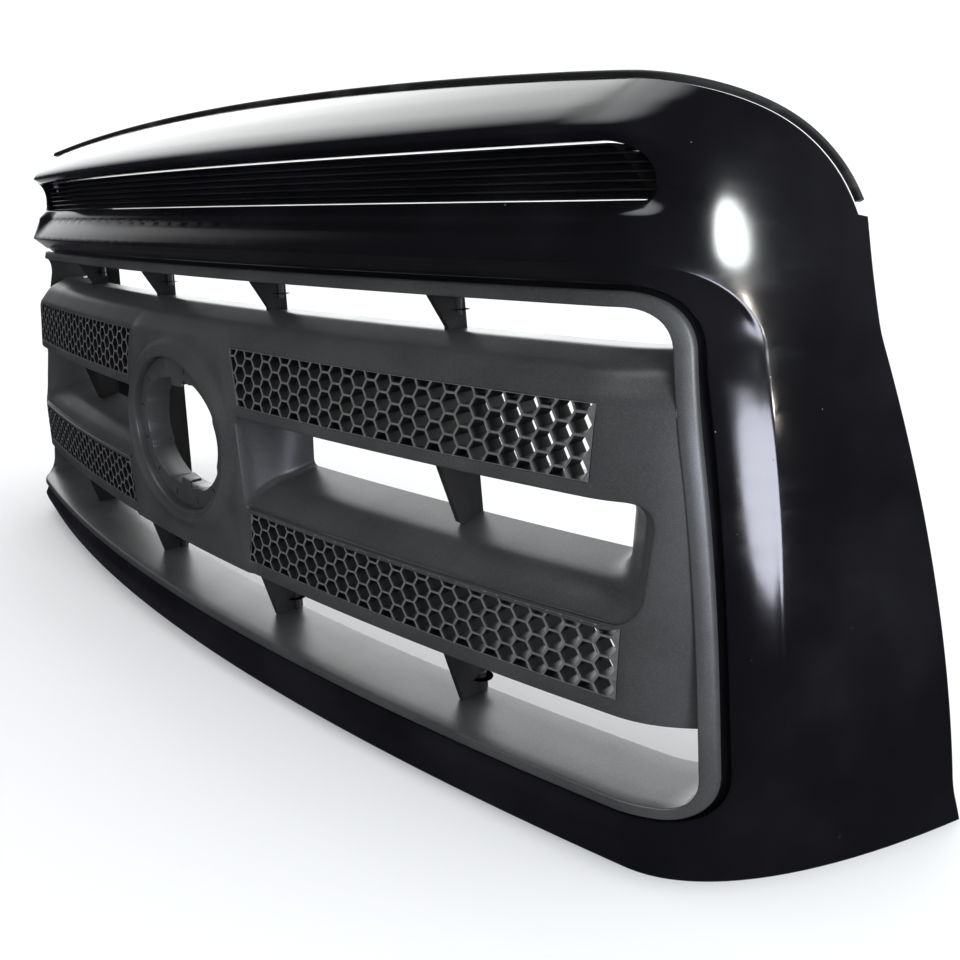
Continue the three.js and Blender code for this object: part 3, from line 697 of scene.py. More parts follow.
class Draft:
    """Points and faces of one piece, in design millimetres."""

    def __init__(self) -> None:
        """Starts empty."""
        self.points: list[np.ndarray] = []
        self.faces: list[tuple] = []
        self.count = 0

    def add(self, points: np.ndarray, faces: Iterable[Sequence[int]]) -> None:
        """Adds points and the faces between them.

        Args:
            points: new points.
            faces: indices into those points.
        """
        base = self.count
        self.points.append(np.asarray(points, float))
        self.faces += [tuple(int(i) + base for i in face) for face in faces]
        self.count += len(points)

    def rings(self, rings: Sequence[np.ndarray], loop: bool = True, closed: bool = False,
              caps: bool = False) -> None:
        """Skins a row of rings.

        Args:
            rings: rings with the same number of points.
            loop: whether each ring closes on itself.
            closed: whether the last ring joins the first.
            caps: whether the two end rings are filled.
        """
        n, rows = len(rings[0]), len(rings)
        faces = []
        for r in range(rows if closed else rows - 1):
            a, b = r * n, ((r + 1) % rows) * n
            for i in range(n if loop else n - 1):
                j = (i + 1) % n
                faces.append((a + i, b + i, b + j, a + j))
        if caps:
            faces += [tuple(range(n)), tuple((rows - 1) * n + i for i in reversed(range(n)))]
        self.add(np.vstack(rings), faces)

    def fill(self, outline: np.ndarray, holes: Sequence[np.ndarray], columns: np.ndarray, rows: np.ndarray,
             place: Callable[[np.ndarray, np.ndarray], np.ndarray], margin: float = 1.6) -> None:
        """Fills an outline with holes by a fine net of triangles laid on a surface.

        Args:
            outline: closed outer outline in two parameters.
            holes: closed outlines to leave open.
            columns: first parameter of the net's points.
            rows: second parameter of the net's points.
            place: gives the surface's point for both parameters.
            margin: how close the net comes to an outline.
        """
        net = np.array(np.meshgrid(columns, rows)).reshape(2, -1).T
        keep = inside(net, outline) & (clearance(net, outline) > margin)
        for hole in holes:
            keep &= ~inside(net, hole) & (clearance(net, hole) > margin)
        loops = [outline, *holes]
        points = np.vstack([*loops, net[keep]])
        edges, start = [], 0
        for loop in loops:
            edges += [(start + i, start + (i + 1) % len(loop)) for i in range(len(loop))]
            start += len(loop)
        made = delaunay_2d_cdt([Vector(p) for p in points], edges, [], 0, 1e-6)
        flat = np.array([tuple(v) for v in made[0]])
        faces = np.array(made[2])
        middle = flat[faces].mean(axis=1)
        used = inside(middle, outline)
        for hole in holes:
            used &= ~inside(middle, hole)
        self.add(place(flat[:, 0], flat[:, 1]), faces[used])

    def thicken(self, wall: float) -> None:
        """Turns the open skin into a wall that lies behind it.

        Args:
            wall: thickness.
        """
        mesh = self._bmesh()
        front = [v.co.copy() for v in mesh.verts]
        normals = [v.normal.copy() for v in mesh.verts]
        faces = [[v.index for v in f.verts] for f in mesh.faces]
        rim = [(e.verts[0].index, e.verts[1].index, e.link_loops[0].vert.index) for e in mesh.edges
               if len(e.link_faces) == 1]
        mesh.free()
        n = len(front)
        back = [p - normal * wall for p, normal in zip(front, normals)]
        turned = [[i + n for i in reversed(face)] for face in faces]
        edge = [((a, a + n, b + n, b) if first == a else (b, b + n, a + n, a)) for a, b, first in rim]
        self.points, self.faces, self.count = [], [], 0
        self.add(np.array([tuple(p) for p in front + back]), faces + turned + edge)

    def _bmesh(self) -> bmesh.types.BMesh:
        """Joins the points that coincide and turns every face the same way.

        Returns:
            The mesh, still in design millimetres, facing -Y on the whole.
        """
        mesh = bmesh.new()
        verts = [mesh.verts.new(p) for p in np.vstack(self.points)]
        for face in self.faces:
            try:
                mesh.faces.new([verts[i] for i in face])
            except ValueError:
                continue
        bmesh.ops.remove_doubles(mesh, verts=mesh.verts, dist=0.02)
        bmesh.ops.recalc_face_normals(mesh, faces=mesh.faces)
        open_skin = any(len(e.link_faces) == 1 for e in mesh.edges)
        if open_skin and sum(f.normal.y * f.calc_area() for f in mesh.faces) > 0:
            bmesh.ops.reverse_faces(mesh, faces=mesh.faces)
        mesh.normal_update()
        mesh.verts.index_update()
        return mesh

    def build(self, name: str, finish: Finish, stands_for: Sequence[str],
              crease: float = 38.0) -> bpy.types.Object:
        """Makes the object.

        Args:
            name: name of the piece.
            finish: its finish.
            stands_for: CAD nodes that it replaces.
            crease: edges that turn by more than this many degrees stay sharp.

        Returns:
            The object, riding on the fixed body.
        """
        made = self._bmesh()
        for vert in made.verts:
            vert.co = Vector(to_row(np.array(vert.co)))
        made.normal_update()
        mesh = bpy.data.meshes.new(name)
        made.to_mesh(mesh)
        made.free()
        mesh.shade_smooth()
        mesh.set_sharp_from_angle(angle=math.radians(crease))
        piece = linked(name, mesh)
        piece.data.materials.append(finish.material())
        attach(piece, "root")
        if stands_for:
            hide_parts(*stands_for)
        LOG.info("%s: %d faces", name, len(mesh.polygons))
        return piece


def tube(draft: Draft, centre: tuple, radii: tuple, rear: float, bore_end: float, sides: int = 28,
         bite: float = 1.4) -> None:
    """Adds a screw boss along Y with a blind bore at its rear.

    Args:
        draft: where it goes.
        centre: (x, z).
        radii: outer and bore radius.
        rear: Y of its rear end.
        bore_end: Y of the bore's bottom.
        sides: number of sides.
        bite: how far behind the skin's face it begins.
    """
    turn = turns(sides)
    outer, bore = radii

    def ring(radius: float, y: Optional[float]) -> np.ndarray:
        """One circle, or one that lies just behind the skin where no depth is given."""
        x, z = centre[0] + radius * np.cos(turn), centre[1] + radius * np.sin(turn)
        return np.column_stack([x, FORM.skin(x, z) + bite if y is None else np.full(sides, y), z])

    profile = ((0.3, None), (outer + 0.6, None), (outer, rear - 0.8), (outer - 0.8, rear),
               (bore + 0.6, rear), (bore, rear - 0.8), (bore, bore_end), (0.3, bore_end))
    draft.rings([ring(radius, y) for radius, y in profile], caps=True)


def block(draft: Draft, low: tuple, high: tuple, ease: float = 0.6) -> None:
    """Adds a box with eased edges.

    Args:
        draft: where it goes.
        low: lowest corner.
        high: highest corner.
        ease: chamfer on its edges.
    """
    (x0, y0, z0), (x1, y1, z1) = low, high

    def ring(y: float, inset: float) -> np.ndarray:
        """One eight sided ring."""
        a, b = x0 + inset, x1 - inset
        c, d = z0 + inset, z1 - inset
        e = ease
        corners = [(a + e, c), (b - e, c), (b, c + e), (b, d - e),
                   (b - e, d), (a + e, d), (a, d - e), (a, c + e)]
        return np.array([(x, y, z) for x, z in corners])

    draft.rings([ring(y0, ease), ring(y0 + ease, 0), ring(y1 - ease, 0), ring(y1, ease)], caps=True)


def spaced(knots: np.ndarray, apart: float) -> np.ndarray:
    """Sorts positions and drops those closer than a distance to the one before."""
    out: list[float] = []
    for value in np.sort(knots):
        if not out or value - out[-1] >= apart:
            out.append(float(value))
    return np.array(out)


def column_stations(step: float, height: float = 200.0, reach: float = 660.0) -> np.ndarray:
    """X stations that are evenly spaced along the swept front.

    Args:
        step: distance along the surface.
        height: where the sweep is measured.
        reach: outermost station.

    Returns:
        The stations on both sides.
    """
    x = np.linspace(0, reach, 2000)
    y = FORM.bow(x, np.full_like(x, height))
    length = np.concatenate([[0], np.cumsum(np.hypot(np.diff(x), np.diff(y)))])
    half = np.interp(np.arange(step, length[-1], step), length, x)
    return np.concatenate([-half[::-1], [0], half])


# ---------------------------------------------------------------- surround
@dataclass
class Surround:
    """The gloss surround with its bevelled opening, scoop, bosses and hood lugs."""

    wall: float = 2.6
    bevel: tuple = (24.0, 13.0, 11.0)
    scoop_margin: tuple = (17.0, 9.0, 5.0)
    # share of the bevel's width, share of its depth, extra depth, reach of the lip inwards
    bevel_profile: tuple = (
        (1.07, 0, 0), (1.03, 0, 0.1), (0.99, 0.02, 0.35), (0.94, 0.07, 0.6), (0.86, 0.15, 0.7),
        (0.6, 0.42, 0.7), (0.35, 0.68, 0.7), (0.12, 0.91, 0.8), (0.05, 0.98, 1.1), (0.015, 1.02, 1.9),
        (0, 1.05, 3.2), (0, 1.05, 6.5), (0, 1.05, 8.4), (0, 1.05, 9, 1.4), (0, 1.05, 9.2, 6.5))
    # share of the scoop's margin, depth
    scoop_profile: tuple = (
        (1.1, 0), (1.0, 0.25), (0.88, 0.9), (0.72, 2.0), (0.5, 3.9), (0.3, 5.7), (0.14, 7.1), (0.05, 8.1),
        (0.01, 9.4), (0, 11), (0, 16), (0, 24))
    net_step: float = 6.5
    boss: tuple = (6.0, 2.1)  # outer and bore radius
    bore_depth: float = 14.0
    # height of a row of bosses for the ears, and Y of the bosses' rear ends before the sweep
    ear_rows: tuple = ((402.0, 23.7), (24.0, 7.7))
    lugs: tuple = (-380.0, -130.0, 130.0, 380.0)
    lug_half_width: float = 20.0
    lug_reach: float = 44.0
    lug_drop: float = 12.0
    lug_thickness: float = 3.0
    lug_hole: tuple = (4.5, 16.0)  # radius, distance from the rear edge
    gusset_x: float = 18.0
    bracket_x: float = 558.0
    bracket_zs: tuple = (195.0, 235.0)
    bracket_y: float = 152.0
    bracket_bite: float = 5.0

    def _opening_ring(self, share: float, deep: float, extra: float, lip: float = 0.0) -> np.ndarray:
        """One ring of the bevel.

        Args:
            share: share of the bevel's width left.
            deep: share of its depth.
            extra: further depth.
            lip: how far the ring lies inside the opening.

        Returns:
            The ring's points.
        """
        x, z = FORM.opening(*(share * m - lip for m in self.bevel)).T
        depth = np.maximum(5, FORM.rim_front(z) - FORM.shell_front(z))
        return np.column_stack([x, FORM.skin(x, z) + deep * depth + extra, z])

    def _scoop_ring(self, share: float, depth: float) -> np.ndarray:
        """One ring of the scoop's flare."""
        x, z = FORM.scoop(*(share * m for m in self.scoop_margin)).T
        return np.column_stack([x, FORM.skin(x, z) + depth, z])

    def build(self) -> bpy.types.Object:
        """Builds the surround.

        Returns:
            The piece.
        """
        draft = Draft()
        opening = [self._opening_ring(*row) for row in self.bevel_profile]
        scoop = [self._scoop_ring(*row) for row in self.scoop_profile]
        rows = spaced(np.concatenate([np.arange(3, 515, self.net_step), FORM.shell_front.stations()]), 1.2)
        draft.fill(FORM.outer(), [opening[0][:, [0, 2]], scoop[0][:, [0, 2]]], column_stations(self.net_step),
                   rows, lambda x, z: np.column_stack([x, FORM.skin(x, z), z]), 0.8)
        draft.rings(opening)
        draft.rings(scoop)
        draft.thicken(self.wall)
        for x in EARS:
            for z, rear in self.ear_rows:
                end = rear + float(FORM.bow(x, z))
                tube(draft, (x, z), self.boss, end, end - self.bore_depth)
        for x in self.lugs:
            self._lug(draft, x)
        for side in (-1, 1):
            for z in self.bracket_zs:
                tube(draft, (side * self.bracket_x, z), self.boss, self.bracket_y - 0.3,
                     self.bracket_y - self.bore_depth, bite=self.bracket_bite)
        return draft.build("surround_moulding", GlossBlack(), ["surround_shell"])

    def _lug(self, draft: Draft, x: float) -> None:
        """Adds a hood lug with its bolt hole and two gussets.

        Args:
            draft: where it goes.
            x: middle of the lug.
        """
        z = float(FORM.hood_edge(x)) - self.lug_drop
        foot = z - self.lug_thickness
        front = float(FORM.skin(abs(x) + self.lug_half_width, z)) + 1
        rear = float(FORM.skin(x, z)) + self.lug_reach
        turn = turns(40)
        shape = np.column_stack([np.cos(turn), np.sin(turn)])
        square = shape / np.abs(shape).max(axis=1, keepdims=True)
        half = np.array([self.lug_half_width, (rear - front) / 2])
        outer = square * half + np.array([x, (front + rear) / 2])
        radius, from_rear = self.lug_hole
        hole = shape * radius + np.array([x, rear - from_rear])

        def ring(loop: np.ndarray, height: float) -> np.ndarray:
            """A loop of the lug laid at a height."""
            return np.column_stack([loop, np.full(len(loop), height)])

        levels = ((outer, foot), (outer, z - 0.4), (outer, z), (hole, z), (hole, foot))
        draft.rings([ring(loop, height) for loop, height in levels], closed=True)
        for side in (-1, 1):
            rib = x + side * self.gusset_x
            block(draft, (rib - 1.2, front, z - 9), (rib + 1.2, rear - 12, z - 2.5), 0.4)


@dataclass
class HoodSeal:
    """The rubber strip along the hood edge."""

    # (outwards, backwards) points of its section
    section: tuple = ((0.2, 1.2), (1.8, 0.9), (3.3, 0.9), (4.2, 1.5), (4.7, 2.8), (4.6, 4.4), (4.2, 6.0),
                      (3.4, 7.4), (2.2, 8.6), (0.3, 9.4), (0.1, 6.5), (0.3, 5), (0.1, 3.2))

    def build(self) -> bpy.types.Object:
        """Builds the strip.

        Returns:
            The piece.
        """
        outline = FORM.outer()
        path = outline[outline[:, 1] > FORM.shoulder_z + 8]
        along = np.gradient(path, axis=0)
        along /= np.linalg.norm(along, axis=1)[:, None]
        out = np.column_stack([along[:, 1], -along[:, 0]])
        y = FORM.skin(path[:, 0], path[:, 1])
        rings = []
        for i in range(len(path)):
            rings.append(np.array([(path[i, 0] + out[i, 0] * o, y[i] + b, path[i, 1] + out[i, 1] * o)
                                   for o, b in self.section]))
        draft = Draft()
        draft.rings(rings, caps=True)
        return draft.build("hood_seal_strip", SealRubber(), ["hood_seal"])


@dataclass
class LouvrePanel:
    """The comb of thin slats inside the scoop."""

    count: int = 6
    low: float = 431.0
    high: float = 462.0
    set_back: float = 12.0
    depth: float = 12.0
    lean: float = 0.1
    limits: tuple = (430.6, 462.4)  # the comb's lowest and highest Z

    def _section(self) -> list[tuple]:
        """The comb's section.

        Returns:
            (y, z) points, turning one way.
        """
        pitch = (self.high - self.low) / self.count
        points = [(self.set_back + self.depth + 2, self.low - 0.3)]

        def front(z: float) -> float:
            """Y of a slat's nose."""
            return self.set_back - self.lean * (z - self.low)

        for i in range(self.count + 1):
            z = self.low + i * pitch
            y = front(z)
            points += [(y + 1.6, z - 0.75), (y + 0.5, z - 0.6), (y, z)]
            points += [(y + 0.3, z + 0.5), (y + 1.4, z + 0.75)]
            if i < self.count:
                points += [(y + self.depth, z + 1.1), (y + self.depth, z + pitch - 1.3)]
        points += [(front(self.high) + self.depth + 2, self.high + 0.4)]
        return points

    def build(self) -> bpy.types.Object:
        """Builds the comb.

        Returns:
            The piece.
        """
        section = self._section()
        outline = FORM.scoop(-0.5)
        half = outline[: len(outline) // 2 + 1]
        ys, zs = np.array(section).T
        reach = np.array([self._low_reach(half, z) if z < 440 else self._reach(half, z) for z in zs])
        zs = np.clip(zs, *self.limits)
        rings = [swept(t * reach, ys, zs) for t in np.linspace(-1, 1, 150)]
        draft = Draft()
        draft.rings(rings, caps=True)
        return draft.build("louvre_comb", SatinBlack(), ["louvre_panel"], 30.0)

    def _low_reach(self, half: np.ndarray, z: float) -> float:
        """Half width of the scoop at a height near its foot."""
        ends = half[np.argsort(half[:, 1])]
        return float(np.interp(np.clip(z, *self.limits), ends[:, 1], np.maximum.accumulate(ends[:, 0])))

    def _reach(self, half: np.ndarray, z: float) -> float:
        """Half width of the scoop at a height above its foot."""
        upper = half[half[:, 1] > 436]
        return float(np.interp(min(z, self.limits[1]), upper[:, 1], upper[:, 0]))


# ---------------------------------------------------------------- insert
@dataclass
class InsertFrame:
    """The painted frame that fills the opening's edge, with its screw ears."""

    outer_margin: tuple = (-3.4, -3.4, -3.4)
    inner_margin: tuple = (-13, -13, -11)
    wall: float = 2.6
    # share of the way from the outer to the inner outline, depth behind the rim plane
    front_profile: tuple = ((0.0, 3.2), (0.0, 1.9), (0.04, 0.9), (0.1, 0.3), (0.18, 0.0), (0.5, -0.1),
                            (0.8, 0.0), (0.9, 0.4), (0.97, 1.2), (1.0, 2.4))

    def build(self) -> bpy.types.Object:
        """Builds the frame.

        Returns:
            The piece.
        """
        outer = FORM.opening(*self.outer_margin)
        inner = FORM.opening(*self.inner_margin)
        wall = grown(inner, self.wall)

        def ring(flat: np.ndarray, depth: np.ndarray) -> np.ndarray:
            """An outline laid at a depth of the unswept drawing."""
            return swept(flat[:, 0], depth, flat[:, 1])

        rings = []
        for share, depth in self.front_profile:
            flat = outer + (inner - outer) * share
            rings.append(ring(flat, FORM.rim_front(flat[:, 1]) + depth))
        rear = np.where(inner[:, 1] < 90, 24.0, 38.0)
        lip = FORM.rim_front(inner[:, 1])
        for share in (0.15, 0.4, 0.7, 0.97):
            rings.append(ring(inner, lip + 2.4 + (rear - lip - 2.4) * share))
        rings.append(ring(grown(inner, 0.4), rear))
        rings.append(ring(grown(inner, 2.2), rear))
        rings.append(ring(wall, rear - 0.4))
        rings.append(ring(wall, lip + 4.5))
        rings.append(ring(grown(outer, -0.4), FORM.rim_front(outer[:, 1]) + 3.6))
        draft = Draft()
        draft.rings(rings, closed=True)
        for x in EARS:
            self._ear(draft, x, (24.0, 402.0), (370.0, 412.0))
            self._ear(draft, x, (8.0, 24.0), (14.0, 57.0))
        return draft.build("insert_frame_moulding", PaintedGrey(), ["insert_frame"])

    def _ear(self, draft: Draft, x: float, at: tuple, span: tuple) -> None:
        """Adds a flat screw ear.

        Args:
            draft: where it goes.
            x: middle of the ear.
            at: Y of its front face and Z of its hole.
            span: lowest and highest Z.
        """
        y = at[0] + float(FORM.bow(x, at[1]))
        block(draft, (x - 13, y, span[0]), (x + 13, y + 3, span[1]), 0.7)


@dataclass
class BarPanel:
    """The two bars, centre boss and end panels in one painted moulding."""

    wall: float = 2.4
    # rounded section from the top ledge over the face to the underside, (y, z, rounding)
    section: tuple = ((39, 343, 0), (16, 343, 2.5), (-6, 331.5, 6), (-21, 313, 6), (-25, 263, 10),
                      (-29, 172, 10), (-28.5, 109, 1.6), (-24, 107.5, 1.6), (24, 111, 0))
    ring: tuple = (102.0, 90.0)
    seat: tuple = (86.0, 75.0)
    emblem_z: float = 220.0
    seam_margin: tuple = (-12.95, -12.95, -10.95)
    boss_rise: float = 2.2
    window_r: float = 1.2
    # margin outwards and depth of a window's lip
    window_lip: tuple = ((0.5, 0), (0.15, 0.15), (0, 0.5), (0, 5), (0, 11))
    # margin outwards and depth of a pocket's lip
    pocket_lip: tuple = ((3.2, 0), (2.0, 0.12), (1.0, 0.55), (0.35, 1.3), (0.0, 2.4))
    # margin outwards and rise of the centre ring's flank, then margin and Y of its inside
    ring_flank: tuple = ((9, 0), (7, 0.25), (4.5, 1.2), (2, 2.8), (0, 4.2), (-2, 5.2), (-4, 5.8))
    ring_inside: tuple = ((4.5, -32.6), (2.6, -32.9), (1.2, -32.4), (0.3, -31.2), (0, -29.5), (0, -25),
                          (0, -18))
    # (lowest Z, highest Z, inner end below, inner end above, outer end)
    windows: tuple = ((263.0, 313.0, 111.0, 99.0, 465.0), (121.0, 172.0, 117.0, 125.0, 493.0))
    # a pocket's rings; its edges, ends and corner radius are lines over the depth
    pocket_depths: tuple = (0, 6, 12, 18, 23, 27, 32, 40, 50, 61)
    pocket_low: RoundedLine = RoundedLine(((0, 172, 0), (10, 183, 6), (24, 192.5, 2.5), (61, 203, 0)))
    pocket_top: RoundedLine = RoundedLine(((0, 253, 0), (20, 251.5, 5), (61, 250, 0)))
    pocket_out: RoundedLine = RoundedLine(((0, 503, 0), (22, 487, 8), (36, 475, 6), (61, 471, 0)))
    pocket_in: RoundedLine = RoundedLine(((0, 0, 0), (22, 9, 8), (38, 17, 6), (61, 20, 0)))
    pocket_r: RoundedLine = RoundedLine(((0, 26, 0), (22, 20, 8), (61, 11, 0)))

    def __post_init__(self) -> None:
        """Works out the section's length scale."""
        pts = self._rounded_section()
        steps = np.linalg.norm(np.diff(pts, axis=0), axis=1)
        self._length = np.concatenate([[0], np.cumsum(steps)])
        self._pts = pts

    def _rounded_section(self) -> np.ndarray:
        """The section as a dense line of (y, z) points."""
        knots = [np.array(k[:2], float) for k in self.section]
        out = [knots[0]]
        for before, here, after, (_, _, r) in zip(knots, knots[1:], knots[2:], self.section[1:]):
            out += list(bezier(towards(here, before, r), tuple(here), towards(here, after, r), 6))
        out.append(knots[-1])
        return np.array(out)

    def _yz(self, v: np.ndarray) -> tuple:
        """Section point at a length from the top ledge's rear edge."""
        return np.interp(v, self._length, self._pts[:, 0]), np.interp(v, self._length, self._pts[:, 1])

    def _v_of_z(self, z: np.ndarray) -> np.ndarray:
        """Section length at a height of the front face."""
        face = (self._pts[:, 1] < 342.5) & (self._pts[:, 1] > 108.5) & (self._pts[:, 0] < 20)
        return np.interp(-np.asarray(z, float), -self._pts[face, 1], self._length[face])

    def face_y(self, z: np.ndarray) -> np.ndarray:
        """Y of the flat section's face at a height."""
        return self._yz(self._v_of_z(z))[0]

    def _boss(self, x: np.ndarray, z: np.ndarray) -> np.ndarray:
        """How far the centre boss stands forward of the bars."""
        edge = np.interp(z, [112, 172, 253, 300, 335], [120, 114, 106, 96, 88])
        t = np.clip((edge - np.abs(x)) / 7 + 0.2, 0, 1)
        fade = np.clip((338 - z) / 24, 0, 1)
        return self.boss_rise * t * t * (3 - 2 * t) * fade * fade * (3 - 2 * fade)

    def _place(self, x: np.ndarray, v: np.ndarray) -> np.ndarray:
        """The panel's front surface."""
        y, z = self._yz(-v)
        front = np.where((z > 108) & (y < 10), self._boss(x, z), 0)
        return swept(x, y - front, z)

    def _window(self, z0: float, z1: float, low_in: float, high_in: float, out: float,
                side: int) -> np.ndarray:
        """Outline of a honeycomb window.

        Args:
            z0: lowest Z.
            z1: highest Z.
            low_in: inner end at the lowest Z.
            high_in: inner end at the highest Z.
            out: outer end.
            side: 1 on the right and -1 on the left.

        Returns:
            The closed outline in X and Z.
        """
        r = self.window_r
        corners = [np.array(c) for c in ((low_in, z0), (out, z0), (out, z1), (high_in, z1))]
        points = []
        for i, here in enumerate(corners):
            before, after = corners[i - 1], corners[(i + 1) % 4]
            leave = towards(here, after, r)
            points.append(bezier(towards(here, before, r), tuple(here), leave, 3))
            points.append(straight(leave, towards(after, here, r), 40)[1:])
        loop = np.vstack(points)
        return loop if side > 0 else flipped(loop)

    def _pocket(self, depth: float, grow: float, side: int) -> np.ndarray:
        """Outline of a pocket at a depth, grown by a margin, in X and Z."""
        low, top = float(self.pocket_low(depth)), float(self.pocket_top(depth))
        out, shift = float(self.pocket_out(depth)), float(self.pocket_in(depth))
        r, r_in = float(self.pocket_r(depth)), 7.0
        in_low, in_top = 115 + shift, 106 + shift * 1.5
        parts = [
            bezier((in_low, low + r_in), (in_low, low), (in_low + r_in, low), 8),
            straight((in_low + r_in, low), (out - r, low), 70)[1:],
            bezier((out - r, low), (out, low), (out, low + r), 14),
            straight((out, low + r), (out, top - r * 0.7), 10)[1:],
            bezier((out, top - r * 0.7), (out, top), (out - r * 0.7, top), 14),
            straight((out - r * 0.7, top), (in_top + r_in, top), 70)[1:],
            bezier((in_top + r_in, top), (in_top, top), (in_top, top - r_in), 8),
            straight((in_top, top - r_in), (in_low, low + r_in), 12)[1:],
        ]
        loop = grown(np.vstack(parts), grow)
        return loop if side > 0 else flipped(loop)

    def _ring(self, flat: np.ndarray, depth: float, absolute: bool = False) -> np.ndarray:
        """Lays an outline at a depth behind the face; absolute depths end on one plane."""
        x, z = flat.T
        face = self.face_y(z) - self._boss(x, z)
        y = face + depth * (33 - face) / 60 if absolute else face + depth
        return swept(x, y, z)

    def build(self) -> bpy.types.Object:
        """Builds the panel.

        Returns:
            The piece.
        """
        draft = Draft()
        holes = []
        for side in (-1, 1):
            rings = [self._ring(self._pocket(0, g, side), d) for g, d in self.pocket_lip]
            rings += [self._ring(self._pocket(d, 0, side), d, True) for d in self.pocket_depths[1:]]
            draft.rings(rings)
            holes.append(rings[0][:, [0, 2]])
            for window in self.windows:
                flat = self._window(*window, side)
                rings = [self._ring(grown(flat, g), d) for g, d in self.window_lip]
                draft.rings(rings)
                holes.append(rings[0][:, [0, 2]])
        rings = []
        for grow, rise in self.ring_flank:
            flat = ellipse(self.ring[0] + grow - 3, self.ring[1] + grow - 3, self.emblem_z)
            rings.append(self._ring(flat, -rise))
        for grow, y in self.ring_inside:
            x, z = ellipse(self.seat[0] + grow, self.seat[1] + grow, self.emblem_z).T
            rings.append(swept(x, y, z))
        draft.rings(rings)
        holes.append(rings[0][:, [0, 2]])
        in_v = [np.column_stack([hole[:, 0], -self._v_of_z(hole[:, 1])]) for hole in holes]
        total = self._length[-1]
        v = np.unique(np.concatenate([np.linspace(0, total, 70), self._length]))
        _, z = self._yz(v)
        opening = FORM.opening(*self.seam_margin)
        half = opening[: len(opening) // 2 + 1]
        side_half = half[(half[:, 1] > 70) & (half[:, 1] < 368)]
        x = np.interp(z, side_half[:, 1], side_half[:, 0])
        right = np.column_stack([x, -v])[::-1]
        across = np.linspace(-1, 1, 180)[1:-1]
        outline = np.vstack([right, np.column_stack([-across * x[0], np.zeros(178)]), (right * [-1, 1])[::-1],
                             np.column_stack([across * x[-1], np.full(178, -total)])])
        rows = spaced(np.concatenate([-self._length, -np.arange(3, total, 6)]), 1.0)
        draft.fill(outline, in_v, column_stations(6.0, 200, 560), rows, self._place, 1.3)
        draft.thicken(self.wall)
        return draft.build("bar_panel_moulding", PaintedGrey(), ["bar_panel"])


@dataclass
class EmblemSeat:
    """The slotted floor behind the centre ring, with its short collar and clips."""

    centre_z: float = 220.0
    seat: tuple = (85.5, 74.5)
    hole: tuple = (74.0, 58.0)
    floor_y: float = -24.0
    collar: float = 26.0
    slots: int = 12

    def _hole_outline(self, grow: float) -> np.ndarray:
        """The hole with four shallow lobes.

        Args:
            grow: margin outwards.

        Returns:
            The closed outline.
        """
        t = turns(160)
        lobe = 1 / (1 + np.exp(-14 * (np.cos(4 * (t - math.pi / 4)) - 0.15)))
        a, b = self.hole[0] + grow - 3.5 * (1 - lobe), self.hole[1] + grow - 3.5 * (1 - lobe)
        return np.column_stack([a * np.cos(t), self.centre_z + b * np.sin(t)])

    def build(self) -> bpy.types.Object:
        """Builds the seat.

        Returns:
            The piece.
        """
        draft = Draft()
        rim = ellipse(*self.seat, self.centre_z)
        hole = self._hole_outline(0.8)
        slots = []
        middle = ((self.seat[0] + self.hole[0]) / 2, (self.seat[1] + self.hole[1]) / 2)
        for i in range(self.slots):
            t = (i + 0.5) * 2 * math.pi / self.slots
            out = np.array([math.cos(t), math.sin(t)])
            across = np.array([-out[1], out[0]])
            centre = np.array([middle[0] * out[0], self.centre_z + middle[1] * out[1]])
            long = 3.2 if abs(out[1]) < 0.9 else 3.6
            slots.append(np.array([centre + a * 1.3 * across + b * long * out
                                   for a, b in ((1, -1), (-1, -1), (-1, 1), (1, 1))])[::-1])
        slots = [s if self._area(s) > 0 else s[::-1] for s in slots]
        net = np.arange(-90, 91, 4.0)
        draft.fill(rim, [hole, *slots], net, net + self.centre_z,
                   lambda x, z: np.column_stack([x, np.full_like(x, self.floor_y), z]), 0.7)

        def ring(flat: np.ndarray, y: float) -> np.ndarray:
            """An outline at one depth."""
            return np.column_stack([flat[:, 0], np.full(len(flat), y), flat[:, 1]])

        back = self.floor_y
        collar = ((0.8, 0), (0.25, 0.3), (0, 1), (0, self.collar / 2), (0, self.collar - 2.2))
        draft.rings([ring(self._hole_outline(grow), back + deep) for grow, deep in collar])
        for slot in slots:
            draft.rings([ring(slot, back), ring(slot, back + 2.4)])
        flange = [ellipse(*half, self.centre_z) for half in ((88, 77), (91, 80))]
        skirt = ((rim, 0), (rim, 8), (rim, 10.5), (flange[0], 11), (flange[1], 11))
        draft.rings([ring(flat, back + deep) for flat, deep in skirt])
        draft.thicken(2.2)
        for sign in (-1, 1):
            z = self.centre_z + sign * (self.hole[1] - 5)
            block(draft, (-9, back + 0.2, z - 6.5), (9, back + 3, z + 6.5), 0.7)
            block(draft, (-4.5, back + 2.5, z - sign * 4 - 1.4), (4.5, back + 15, z - sign * 4 + 1.4), 0.5)
        return draft.build("emblem_seat_cup", PaintedGrey(), ["emblem_seat"])

    @staticmethod
    def _area(loop: np.ndarray) -> float:
        """Signed area of a loop."""
        x, y = loop.T
        return float(np.sum(x * np.roll(y, -1) - np.roll(x, -1) * y) / 2)


class Side(Enum):
    """Which half of the grille a piece is on."""

    RIGHT = 1
    LEFT = -1


